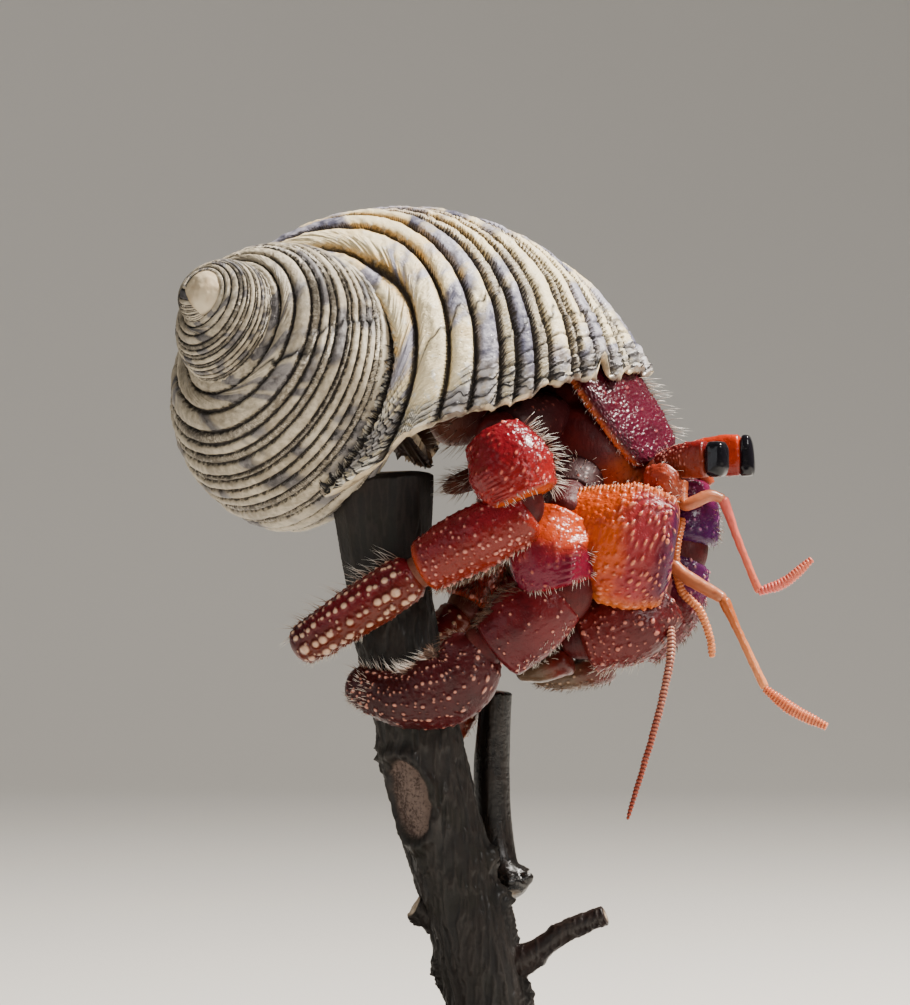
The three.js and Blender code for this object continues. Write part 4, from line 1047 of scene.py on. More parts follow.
feelers = {
    "antenna_right": {
        "path": ((30.2, -4.4, 92.4), (28.8, -4.6, 86), (29, -4.8, 82), (30.5, -9.4, 74.7), (29.1, -11, 66.3),
                 (24.2, -12, 49.5)),
        "wide": (1.3, 1.2, 1.1, 0.9, 0.6), "rings": (84, 0.13), "finish": "whip", "finer": 3.6},
    "antenna_left": {
        "path": ((32.4, -2.4, 92), (31.4, -3.6, 86.4), (32.2, -3.8, 81.6), (34.6, -4, 79), (36.2, -3.6, 75),
                 (36.6, -3.2, 72)),
        "wide": (1.2, 1.1, 1.1, 0.9), "deep": (1.2, 1.2, 1.2, 1), "rings": (40, 0.12), "finish": "feelerTan",
        "finer": 3.0},
    "antennule_right_base": {
        "path": ((32, -2.2, 96.4), (30.6, -2.6, 90), (31, -3.4, 85.4), (38.2, -7.2, 80.3)),
        "wide": (1.5, 1.7, 2, 1.7), "finish": "feelerBase"},
    "antennule_right_middle": {
        "path": ((37.9, -7.1, 80.6), (40.6, -8, 74.6), (43.8, -9.1, 67.8)), "wide": (1.7, 1.2, 1.2, 1.3),
        "finish": "feelerTan"},
    "antennule_right_flagellum": {
        "path": ((43.6, -9.1, 67.9), (47.4, -10, 65), (52.4, -11, 62.5)), "wide": (1.1, 1.7, 1.6, 1.1),
        "rings": (22, 0.16), "finish": "feelerComb", "finer": 2.4},
    "antennule_left_base": {
        "path": ((32.6, -0.6, 97.2), (32.6, -2.4, 93.8), (36.4, -2.2, 95.1), (38.4, -2, 94.5)),
        "wide": (1.5, 1.7, 1.8, 1.4), "finish": "feelerBase"},
    "antennule_left_middle": {
        "path": ((38.1, -2, 94.9), (40.6, -2, 88), (43.4, -2, 81.2)), "wide": (1.6, 1.2, 1.1, 1.2),
        "finish": "feelerRed"},
    "antennule_left_flagellum": {
        "path": ((43.1, -2, 81.3), (47, -2.4, 82.8), (50.9, -2.6, 86.1)), "wide": (1.1, 1.5, 1.4, 0.9),
        "rings": (18, 0.14), "finish": "feelerRed", "finer": 2.4},
    "antenna_base_right": {
        "path": ((27.4, -5.6, 97.4), (29.6, -7, 97.4), (31, -7.2, 94.4)), "wide": (3.2, 3.2, 2),
        "deep": (3, 3.6, 2.2), "finish": "scale", "mesh": 0.11, "square": 2.8,
        "beads": ({"cell": 0.6, "radius": 0.22, "height": 0.10, "fill": 0.7, "pale": 0.7},),
        "ridges": ({"turn": 110, "spread": 16, "height": 0.35, "teeth": 7, "bite": 0.6},)},
    "antenna_base_left": {
        "path": ((33, 4.6, 98.6), (35.2, 5, 98.4), (36.6, 4.8, 96.4)), "wide": (3, 3, 2),
        "deep": (2.6, 3, 2), "finish": "scale", "mesh": 0.2},
    "maxilliped_right": {
        "path": ((21.09, 3.61, 97.05), (24.58, 3.21, 93.54), (27.38, 3.12, 90.87)), "wide": (3.6, 4, 2.4),
        "deep": (3.8, 3.6, 2), "finish": "plain", "side": bodySide, "mesh": 0.3},
    "maxilliped_left": {
        "path": ((23.38, 8.53, 98.45), (26.71, 7.77, 94.84), (29.18, 6.98, 91.97)), "wide": (3.6, 4, 2.4),
        "deep": (3.8, 3.6, 2), "finish": "plain", "side": bodySide, "mesh": 0.3},
}
slots = {"shield": "chitin_purple", "farClaw": "chitin_purple", "farPalm": "chitin_purple",
         "rightCarpus": "chitin_orange", "lowCarpus": "chitin_orange", "farStalk": "chitin_orange",
         "scale": "chitin_orange", "cornea": "cornea"}


def buildLimbs():
    for name, spec in limbs.items():
        finish = spec["finish"]
        limbPiece(name, spec, finishes[finish], slots.get(finish, "chitin_red"))
    print("plates of legs, claws and eyes made")
    for name, spec in feelers.items():
        spec = {"deep": spec["wide"], "round": 0.05, "mesh": 0.2, "swell": 0.02, **spec}
        limbPiece(name, spec, finishes[spec["finish"]], "feelers")
    print("feelers and mouthparts made")


buildLimbs()


# the perch: bark over a smooth stem, a pruned knot, a shoot, a twig and a stub; the knot is given by
# share of the length, turn, length and width, the lumps by share, turn, size and height
perch = {
    "perch_branch": {
        "path": ((5.7, 0, 18), (2.9, 0, 30.2), (-1.1, 0, 44.5), (-4.6, 0, 58.7), (-9.2, 0, 80.2),
                 (-10.6, 0, 98.5)),
        "wide": (11.6, 11.4, 11.4, 11.4, 11, 12), "deep": (11.8, 11.4, 11.8, 11.8, 12.4, 15.6),
        "rows": 350, "columns": 230, "rough": 0.30, "snap": 82,
        "knot": (0.435, 143, 6.2, 3.5),
        "lumps": ((0.205, 268, 2.6, 0.9), (0.235, 262, 1.6, 0.8), (0.30, 262, 2.2, 1.0), (0.52, 96, 3.0, 0.8),
                  (0.13, 92, 2.8, 0.9), (0.06, 268, 2.4, 0.7), (0.155, 270, 2.0, 0.7), (0.66, 100, 2.2, 0.5)),
    },
    "perch_shoot": {
        "path": ((7.6, 4.2, 37.5), (6.1, 7, 42.6), (5.3, 7.6, 55), (6.0, 7.4, 67)),
        "wide": (5, 5.2, 5, 4.4), "deep": (6, 5.4, 5.2, 4.6), "rows": 150, "columns": 90, "rough": 0.05,
        "lumps": ((0.06, 265, 1.4, 1.0), (0.02, 200, 1.6, 0.8), (0.12, 280, 0.9, 0.9), (0.0, 120, 1.5, 0.7)),
    },
    "perch_twig": {
        "path": ((7.5, 0, 27.6), (11, -1, 29.6), (16.1, -2, 33.2), (21.5, -3, 35.4)),
        "wide": (5.4, 3.6, 3.2, 2.8), "deep": (5.6, 3.4, 3.2, 2.9), "rows": 130, "columns": 80, "rough": 0.16,
        "lumps": ((0.14, 90, 1.2, 0.4), (0.30, 250, 1.0, 0.35), (0.55, 80, 0.9, 0.25)),
    },
    "perch_stub": {
        "path": ((-2, -0.5, 34.6), (-5.9, -1, 36.6)), "wide": (4, 3.4), "deep": (5.4, 3.6), "rows": 50,
        "columns": 60, "rough": 0.3, "lumps": ((0.8, 100, 1.0, 0.4),),
    },
}


def barkMaterial(name, base, light, moss, gloss, cracked):
    # dark bark: long fissures, paler ridges, greenish patches, a bare worn knot, cut wood at the ends; the
    # bark but not the knot is dimmed by painted shade
    shade = Shade(name)
    knot, cut, ridge = shade.mark("knot"), shade.mark("cut"), shade.mark("ridge")
    long = shade.noise(420, 5, 0.65, stretch=(1.0, 1.0, 0.16))
    fine, broad = shade.noise(2600, 4, 0.6), shade.noise(130, 3, 0.5)
    colour = shade.mix(shade.rise(long + (fine - 0.5) * 0.3, 0.38, 0.66), base, light)
    colour = shade.mix(shade.rise(broad, 0.50, 0.66) * 0.55, colour, moss)
    colour = shade.mix(shade.rise(ridge + (fine - 0.5) * 0.3, 0.55, 1.0) * 0.5, colour, (0.070, 0.050, 0.038))
    colour = shade.mix(shade.rise(0.30 - long, 0.0, 0.10) * 0.8, colour, (0.006, 0.004, 0.003))
    grain = shade.rise(fine + (long - 0.5), 0.35, 0.62)
    worn = shade.mix(grain, (0.050, 0.032, 0.026), (0.155, 0.110, 0.090))
    colour = shade.mix(knot, colour, worn)
    rays = shade.noise(900, 4, 0.6)
    wood = shade.mix(shade.rise(rays, 0.35, 0.65), (0.34, 0.25, 0.17), (0.55, 0.45, 0.33))
    # painted shade: outside the knot the colour is dimmed to 38 %
    colour = shade.mix((1 - knot) * 0.62, colour, (0.0, 0.0, 0.0))
    colour = shade.mix(cut, colour, wood)
    height = long * cracked + fine * 0.35 + shade.cells(1500) * 0.15
    return shade.finish(colour=colour, roughness=gloss + 0.3 * (long - 0.4) + 0.25 * knot + 0.2 * cut,
                        normal=shade.bump(height, 0.00028, 0.7), coat=0.15 * (1 - knot), coatRoughness=0.2,
                        specular=0.35)


def barkPiece(name, spec, material):
    # a flat-ended tube with long ridged noise for the bark, gaussian lumps where shoots broke off, and
    # a knot: a raised ellipse round a sunken, rough oval
    rows, columns, rough = spec["rows"], spec["columns"], spec["rough"]
    isLong = rows > 100
    spec = {"round": 0.018 if isLong else 0.08, **spec}
    points, along, turns, length, girth = limbSurface(spec, rows, columns)
    normals = outwardNormals(points)
    x, y, z = points[..., 0], points[..., 1], points[..., 2]

    def offset(place, turn, size, width):
        # how far each point is from a place on the tube, along it and round it, in sizes and in widths
        return (along - place) * length / size, turnGap(turns, turn) / 360 * girth / width

    ends = smoothStep(along, 0.004, 0.03) * (1 - smoothStep(along, 0.97, 0.996))
    strand = 1 - np.abs(roughNoise(x * 0.9, y * 0.9, z * 0.16, 4, 61))
    bark = (strand ** 3 - 0.45) * rough + 0.5 * rough * roughNoise(x * 0.25, y * 0.25, z * 0.2, 3, 71)
    knotMark = np.zeros(x.shape)
    if "knot" in spec:
        u, v = offset(*spec["knot"])
        reach = np.sqrt(u * u + v * v) + 0.05 * lattice(x * 0.9, y * 0.9, z * 0.9, 5)
        knotMark = 1 - smoothStep(reach, 0.86, 0.97)
        torn = 0.16 * roughNoise(x * 1.1, y * 1.1, z * 1.1, 4, 33)
        rim = 0.75 * np.exp(-((reach - 1.1) / 0.17) ** 2) * (1 + 0.3 * lattice(x, y, z, 8))
        bark = bark * (1 - knotMark) + knotMark * (torn - 0.55) + rim
    ragged = 1 + 0.5 * roughNoise(x * 1.3, y * 1.3, z * 1.3, 3, 51)
    for place, turn, size, tall in spec["lumps"]:
        u, v = offset(place, turn, size, size * 0.8)
        bark = bark + tall * np.exp(-(u * u + v * v) ** 1.4) * ragged
    points = points + normals * (bark * ends)[..., None]
    if "snap" in spec:
        points = keepInside(points, name, spec["snap"])
    sawn = smoothStep(along, 0.9965, 0.9985) if isLong else smoothStep(along, 0.95, 0.98)
    cut = np.maximum(sawn, 1 - smoothStep(along, 0.0015, 0.0035))
    marks = closedMarks({"knot": knotMark, "cut": cut, "ridge": strand})
    return meshPiece(name + "_shown", *closedGrid(points), material, marks, "bark", replaces=(name,))


def keepInside(points, name, above):
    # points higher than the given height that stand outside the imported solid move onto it
    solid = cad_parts[name]
    tree = BVHTree.FromObject(solid, bpy.context.evaluated_depsgraph_get())
    clearance = 0.05 * millimetre
    flat = points.reshape(-1, 3).copy()
    for k in np.flatnonzero(flat[:, 2] > above):
        point = Vector(flat[k] * millimetre)
        near, normal = tree.find_nearest(point)[:2]
        if (point - near).dot(normal) > clearance:
            flat[k] = np.array(near) / millimetre
    return flat.reshape(points.shape)


barkDarkAndShaded = barkMaterial("barkDarkAndShaded", (0.010, 0.006, 0.004), (0.030, 0.018, 0.012), (0.022, 0.020, 0.008),
                        0.66, 1.0)
shootSkin = barkMaterial("shootSkin", (0.008, 0.005, 0.004), (0.016, 0.010, 0.007), (0.020, 0.018, 0.007),
                         0.24, 0.2)
twigSkin = barkMaterial("twigSkin", (0.022, 0.008, 0.005), (0.050, 0.020, 0.013), (0.030, 0.018, 0.010),
                        0.42, 0.6)
for name, spec in perch.items():
    barkPiece(name, spec, {"perch_shoot": shootSkin, "perch_twig": twigSkin}.get(name, barkDarkAndShaded))
print("perch made")


def standMaterial():
    # charcoal powder coat with the faintest orange-peel
    shade = Shade("standCharcoal")
    peel, dust = shade.noise(2200, 3, 0.5), shade.noise(60, 3, 0.5)
    return shade.finish(colour=shade.mix(dust, (0.020, 0.020, 0.022), (0.032, 0.032, 0.034)),
                        roughness=0.42 + 0.12 * (peel - 0.5) + 0.1 * dust,
                        normal=shade.bump(peel, 0.00004, 0.5))


def standPiece(name, material, bevel, sides):
    # a turned solid that fills the box of its CAD node: a stack of rings with rounded edges, wide as the
    # node at the middle and drawn in by the bevel at the foot and at the top
    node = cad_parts[name]
    corners = np.array([node.matrix_world @ vertex.co for vertex in node.data.vertices]) / millimetre
    low, high = corners.min(0), corners.max(0)
    centre, radius = (low + high) / 2, (high - low)[0] / 2
    bend = np.linspace(0, math.pi / 2, 7)
    foot = np.stack([radius - bevel * (1 - np.sin(bend)), low[2] + bevel * (1 - np.cos(bend))], -1)
    head = np.stack([radius - bevel * (1 - np.cos(bend)), high[2] - bevel * (1 - np.sin(bend))], -1)
    inner = [[radius * 0.3, low[2]], [radius * 0.7, low[2]]]
    outer = [[radius * 0.7, high[2]], [radius * 0.3, high[2]]]
    profile = np.vstack([inner, foot, head, outer])
    turn = np.linspace(0, 2 * math.pi, sides, endpoint=False)
    rings = np.stack([centre[0] + profile[:, :1] * np.cos(turn), centre[1] + profile[:, :1] * np.sin(turn),
                      np.repeat(profile[:, 1:], sides, 1)], -1)
    return meshPiece(name + "_turned", *closedGrid(rings), material, {}, "stand", replaces=(name,))


stand = {"stand_base": {"bevel": 1.0, "sides": 160}, "stand_rod": {"bevel": 0.15, "sides": 48}}
standFinish = standMaterial()
for name, spec in stand.items():
    standPiece(name, standFinish, spec["bevel"], spec["sides"])
print("stand made")


# one soft skin: body, folded hind legs, abdomen and the joints between the plates
skinTubes = {
    "thorax": (((14.18, 5.68, 112.31), (19.63, 5.17, 105.16), (24.89, 4.51, 98.87)),
               (12, 14.3, 14.6, 13.4, 9.5), (9, 10.8, 11.2, 10.2, 8)),
    "carapace_rear": (((6.38, 4.99, 121.53), (11.68, 4.67, 117.96), (15.66, 4.46, 114.17)),
                      (12.5, 15.4, 14), (10.5, 12.5, 11.4)),
    "side": (((15.2, 0.6, 107.6), (19.2, -0.6, 102.2), (24.6, -1.0, 96.6)),
             (5.6, 8.2, 8.6, 6), (6, 8.4, 8.6, 6.4)),
    "chest": (((12.5, 1.4, 105.0), (15.4, 0.6, 99.4), (20.8, 0.4, 94.0)), (8, 10, 9), (8, 10.5, 9)),
    "back": (((12.5, 8.6, 105.0), (15.4, 8.6, 99.4), (20.8, 8.0, 94.0)), (8, 10, 9), (8, 10.5, 9)),
    "mouth": (((24.4, 0.4, 97.2), (27.4, 0.4, 94.6), (30.4, -0.6, 92.2)), (7, 8, 5), (7, 7.5, 5)),
    "brow": (((27.6, 1.2, 98.6), (30.2, -0.6, 98.4), (31.8, -1.4, 97.6)), (6, 7.4, 5), (4.6, 4.6, 3)),
    "leg4_right": (((10.6, 3, 103.4), (4.6, 0.6, 98.6), (-1.8, -1.6, 95.8)),
                   (3.6, 3.4, 2.6), (4.2, 3.8, 2.8)),
    "leg4_left": (((12, 9, 108), (6.6, 10, 106), (1.6, 9.4, 102.6)), (3.6, 3.4, 2.6), (4.2, 3.8, 2.8)),
    "mantle": (((9.4, 5.6, 112.4), (3.4, 4.4, 107.4), (-3.6, 3.4, 104.6)), (8.4, 9, 6.8), (9, 9, 6.4)),
    "hip3": (((14.4, 3.6, 106.4), (12.6, 0.6, 106.0), (10.4, -3.6, 105.6)), (7, 7, 6.4), (7, 7, 6)),
    "knee3": (((7.2, -8.4, 104.3), (6.0, -10.8, 103.8), (5.8, -13.4, 102.6)), (6, 6.4, 6), (5.8, 6.4, 6)),
    "wrist3": (((8.6, -15.4, 95.6), (9.6, -15.6, 93.6), (8.0, -15.6, 91.6)),
               (5.0, 5.0, 4.8), (5.6, 6.0, 5.6)),
    "ankle3": (((-3.4, -12.9, 85.4), (-5.0, -12.3, 84.4), (-6.6, -11.8, 83.4)),
               (4.0, 4.0, 4.0), (4.8, 4.8, 4.8)),
    "hip2": (((18.4, 4.0, 100.6), (18.0, 1.0, 99.4), (17.6, -2.4, 97.6)), (6.6, 7, 6.4), (6.6, 7, 6)),
    "knee2": (((16.6, -5.6, 95.2), (16.0, -8.4, 93.6), (15.2, -11.4, 91.4)),
              (5.6, 6, 5.6), (6.6, 6.6, 6.6)),
    "wrist2": (((14.4, -12.9, 83.4), (15.2, -12.9, 81.4), (13.8, -12.8, 79.8)),
               (5.4, 5.8, 5.4), (7.6, 8.4, 7.6)),
    "ankle2": (((6.6, -12, 74.0), (3.8, -11.4, 74.0), (2.2, -11, 73.4)), (4.4, 4.4, 4.4), (6.0, 6.0, 6.0)),
    "elbowMerus": (((22.4, 2.0, 95.4), (21.2, -1.0, 94.2), (19.6, -2.4, 93.0)), (5.4, 6, 5), (6.4, 7, 6.4)),
    "elbow": (((15.4, -2.2, 90.8), (14.6, -5.0, 90.8), (16.0, -7.6, 90.8)), (5.4, 6, 5.4), (6.4, 7, 6.4)),
    "hand": (((27.4, -8.4, 84.6), (27.6, -7.4, 82.6), (27.2, -6.8, 80.4)),
             (5.0, 5.4, 5.0), (6.0, 6.2, 6.2)),
    "handLeft": (((33.0, 3.0, 89.2), (32.6, 2.4, 87.0), (31.8, 2.0, 84.6)), (5.8, 6.2, 5.8), (7, 7.4, 7)),
    "elbowLeft": (((31.2, 7.4, 97.4), (32.6, 5.4, 97.0), (33.0, 4.2, 95.2)),
                  (5, 5.4, 5.4), (5.2, 5.6, 5.4)),
    "armLeft": (((24.0, 6.4, 97.0), (25.6, 7.6, 96.6), (27.4, 8.2, 96.7)), (6, 6, 5.4), (6.4, 6.4, 5.8)),
    "fingerRight": (((19.2, -6.9, 75.4), (17.0, -6.6, 74.4), (15.4, -6.2, 73.2)),
                    (4.6, 4.6, 4), (6.8, 6.2, 4)),
    "fingerLeft": (((25.2, 0.6, 75.6), (21.8, 0.1, 73.9), (19.6, 0, 72.6)), (5.4, 5.6, 5), (8.2, 7.4, 5.6)),
    "hip2Left": (((20.6, 6.4, 103.0), (22.0, 9.0, 103.0), (22.0, 11.4, 102.2)),
                 (6, 6.6, 5.6), (6, 6.4, 5.6)),
    "knee2Left": (((16.2, 16.6, 93.8), (15.2, 17.1, 92.5), (14.4, 17.2, 91.2)), (5, 5.4, 5), (5.6, 6, 5.8)),
    "wrist2Left": (((10.8, 16.2, 84.6), (10.1, 15.8, 82.9), (9.4, 15.5, 81.2)),
                   (4.8, 5, 4.8), (5.8, 6.2, 5.8)),
    "ankle2Left": (((4, 12.3, 72.6), (3, 11.8, 70.6), (2.3, 11.4, 69)), (4.2, 4.4, 4), (5, 5.4, 5)),
    "hip3Left": (((15.6, 7.0, 109.6), (16.6, 9.4, 109.6), (16.6, 12, 108.8)), (6, 6.6, 5.6), (6, 6.4, 5.6)),
    "knee3Left": (((10.2, 16.9, 101.4), (9.3, 17, 100.2), (8.8, 16.9, 98.8)), (5, 5.4, 5), (5.6, 5.8, 5.4)),
    "wrist3Left": (((6.5, 15.7, 92.2), (6.2, 15.4, 90.7), (5.8, 15.1, 89.2)),
                   (4.6, 4.8, 4.4), (5.2, 5.6, 5.2)),
    "ankle3Left": (((1.8, 12.3, 80.6), (1.1, 11.7, 78.9), (0.4, 11.2, 77.6)), (4, 4.2, 4), (4.6, 4.8, 4.6)),
}


def skinSolids():
    # the tubes of the skin and the abdomen, a smaller whorl that runs up inside the shell
    for name, (path, wide, deep) in skinTubes.items():
        body = name in ("thorax", "carapace_rear")
        side = bodySide if body else (0, 1, 0.1)
        if name.startswith(("hip", "knee", "elbow")):
            side = sideways
        spec = {"path": path, "wide": wide, "deep": deep, "side": side, "round": 0.14 if body else 0.22}
        points, along = limbSurface(spec, 40, 40)[:2]
        keepSurface(name, points, gridNormals(points), along)
        yield closedGrid(points)
    t = np.linspace(0, 1, 60)[:, None]
    u = np.linspace(0, 1, 60, endpoint=False)[None, :]
    around = (29.7 + 360 * (u - 0.13 * np.sin(2 * math.pi * u))) % 360
    shrink = 0.72 - 0.34 * np.sin(math.pi * np.minimum(t * 1.1 + 0.08, 1))
    shrink, around, age = np.broadcast_arrays(shrink, around, 214 - 100 * t)
    yield closedGrid(whorlSurface(age, around, shrink))


def skinMaterial():
    # wet dark red, glowing orange below the eyes and paler towards the shell; places are in metres
    belowEyes = (0.0245, -0.0045, 0.0965)
    shade = Shade("softSkin")
    broad, fine = shade.noise(300, 4, 0.6), shade.noise(2400, 4, 0.6)
    colour = shade.mix(shade.rise(broad, 0.38, 0.66), (0.045, 0.003, 0.004), (0.085, 0.006, 0.005))
    away = shade.node("ShaderNodeVectorMath", {"operation": "DISTANCE"}, {0: shade.place, 1: belowEyes},
                      "Value")
    glow = 1 - shade.rise(away + (broad - 0.5) * 0.004, 0.002, 0.0062)
    colour = shade.mix(glow * 0.75, colour, (0.34, 0.060, 0.008))
    across = shade.node("ShaderNodeSeparateXYZ", {}, {0: shade.place}, "X")
    colour = shade.mix(1 - shade.rise(across, -0.002, 0.004), colour, (0.16, 0.050, 0.028))
    colour = shade.mix(shade.rise(fine, 0.52, 0.70) * 0.5, colour, (0.018, 0.001, 0.002))
    wrinkles = shade.noise(900, 4, 0.65, stretch=(1.0, 1.0, 0.35))
    return shade.finish(colour=colour, roughness=0.42 + 0.25 * (fine - 0.5) + 0.1 * broad,
                        normal=shade.bump(wrinkles + fine * 0.3, 0.00035, 0.7), coat=0.03,
                        specular=0.2, coatRoughness=0.18, subsurface=0.05, subsurfaceScale=0.0012,
                        subsurfaceRadius=redGlow)


def buildSkin():
    # closed tubes laid into one another and turned into a single skin by a voxel remesh
    allPoints, allQuads, allTriangles, start = [], [], [], 0
    for flat, quads, triangles in skinSolids():
        allPoints.append(flat)
        allQuads.append(quads + start)
        allTriangles.append(triangles + start)
        start += len(flat)
    piece = meshPiece("skin", np.vstack(allPoints), np.vstack(allQuads), np.vstack(allTriangles),
                      skinMaterial(), {}, "flesh",
                      replaces=("thorax", "carapace_rear", "abdomen", "leg4_right", "leg4_left"))
    remesh = piece.modifiers.new("oneSkin", "REMESH")
    remesh.mode = "VOXEL"
    remesh.voxel_size = 0.36 * millimetre
    remesh.use_smooth_shade = True
    ease = piece.modifiers.new("ease", "SMOOTH")
    ease.factor = 0.6
    ease.iterations = 8
    shown = piece.evaluated_get(bpy.context.evaluated_depsgraph_get())
    triangleCount["skin"] = sum(len(face.vertices) - 2 for face in shown.data.polygons)
    print("skin made")


buildSkin()


# bristles: thin three-sided spikes rooted on the plates, each with its own small patch of a bake map
bristle = {
    # radius and depth of the root in millimetres, the rest as shares
    "thick": 0.055, "rootDepth": 0.12, "wander": 0.35, "bend": 0.25, "toneSpread": 0.7,
    # size of a patch of the bake map, and the tiles in a row of it
    "patch": 0.003, "tiles": 8,
}
ringPlaces, ringTurns = np.array([0.0, 0.30, 0.64]), np.radians([0, 120, 240])


def bristleMaterial(name, root, tip):
    shade = Shade(name)
    height, tone = shade.mark("height"), shade.mark("tone")
    colour = shade.mix(shade.rise(height + 0.25 * (tone - 0.5), 0.0, 0.85), root, tip)
    colour = shade.mix(shade.rise(tone, 0.72, 0.95) * 0.6, colour, (0.22, 0.10, 0.05))
    return shade.finish(colour=colour, roughness=0.34 + 0.1 * tone, coat=0.1, coatRoughness=0.2,
                        subsurface=0.05, subsurfaceScale=0.0005, subsurfaceRadius=(1.0, 0.6, 0.4))


def growField(n, field, seed):
    # roots are drawn at random over a stretch of a plate; the spike leaves along the normal, leans
    # along or round the plate, and bends by a share of the square of its length
    plate, (turnLow, turnHigh), (low, high), count, usual, lean, *rare = field
    rare = dict(rare)
    wander, patch, tiles = bristle["wander"], bristle["patch"], bristle["tiles"]
    on = surfaces[plate]
    rows, columns = on["points"].shape[:2]
    pick = [scatter(np.arange(count), n, step, seed) for step in range(8)]
    i = np.clip(np.searchsorted(on["along"], low + (high - low) * pick[0]), 1, rows - 2)
    share = turnLow + (turnHigh - turnLow) * pick[1]
    j = np.round(share / 360 * columns).astype(int) % columns
    root, normal = on["points"][i, j], on["normals"][i, j]
    inward = np.einsum("ij,ij->i", normal, root - on["points"][i].mean(1)) < 0
    normal = np.where(inward[:, None], -normal, normal)
    ahead = unit(on["points"][np.minimum(i + 1, rows - 1), j] - on["points"][i - 1, j])
    across = np.cross(normal, ahead)
    aim = unit(normal + ahead * (lean + wander * (pick[2] - 0.5) * 2)[:, None]
               + across * (wander * (pick[3] - 0.5) * 2)[:, None])
    length = usual * (0.55 + 0.6 * pick[4])
    bend = unit(ahead + 0.4 * across * (pick[5] - 0.5)[:, None]) * (bristle["bend"] * length)[:, None]
    frameA = unit(np.cross(aim, ahead + 0.01))
    frameB = np.cross(aim, frameA)
    along = ringPlaces[None, :, None]
    middle = ((root - aim * bristle["rootDepth"])[:, None] + aim[:, None] * (along * length[:, None, None])
              + bend[:, None] * along ** 2)
    thick = rare.get("thick", bristle["thick"]) * (0.8 + 0.4 * pick[6])
    reach = thick[:, None] * (1 - ringPlaces[None]) ** 0.6
    rim = (frameA[:, None, None] * np.cos(ringTurns)[None, None, :, None]
           + frameB[:, None, None] * np.sin(ringTurns)[None, None, :, None]) * reach[:, :, None, None]
    points = (middle[:, :, None] + rim).reshape(count, 9, 3)
    top = root + aim * length[:, None] + bend
    # every field has a tile of the bake map, and every bristle a patch in it that lies where it grows
    tile = np.array([n % tiles, n // tiles]) / tiles
    home = tile + np.stack([0.02 + 0.08 * (share / 360 % 1), 0.02 + 0.08 * on["along"][i]], -1)
    spot = np.array([(patch * c / 2, patch * r) for r in ringPlaces for c in range(3)] + [(patch / 2, patch)])
    tone = pick[7] * bristle["toneSpread"] + rare.get("tone", 0.0)
    return np.concatenate([points, top[:, None]], 1), home[:, None] + spot[None], tone


def bristlePiece(name, fields, material, seed):
    # each bristle is nine points in three rings and one at the tip
    grown = [growField(n, field, seed) for n, field in enumerate(fields)]
    points, patches, tones = (np.concatenate(part) for part in zip(*grown))
    count = len(points)
    base = np.arange(count)[:, None] * 10
    sides = np.array([(r * 3 + c, r * 3 + (c + 1) % 3, r * 3 + 3 + (c + 1) % 3, r * 3 + 3 + c)
                      for r in (0, 1) for c in range(3)])
    caps = np.array([(6, 7, 9), (7, 8, 9), (8, 6, 9), (2, 1, 0)])
    quads = (base[:, :, None] + sides[None]).reshape(-1, 4)
    triangles = (base[:, :, None] + caps[None]).reshape(-1, 3)
    flip = np.einsum("ij,ij->i", np.cross(points[:, 1] - points[:, 0], points[:, 3] - points[:, 0]),
                     points[:, 0] - points[:, :3].mean(1)).mean() < 0
    if flip:
        quads, triangles = quads[:, ::-1], triangles[:, ::-1]
    heights = np.append(np.repeat(ringPlaces, 3), 1.0)
    marks = {"height": np.tile(heights, count), "tone": np.repeat(tones, 10)}
    meshPiece(name, points.reshape(-1, 3), quads, triangles, material, marks, "flesh",
              patches=patches.reshape(-1, 2))
    print(name, count)


paleBristles = bristleMaterial("paleBristle", (0.30, 0.16, 0.10), (0.90, 0.84, 0.74))
brownBristles = bristleMaterial("brownBristle", (0.040, 0.018, 0.010), (0.20, 0.10, 0.055))
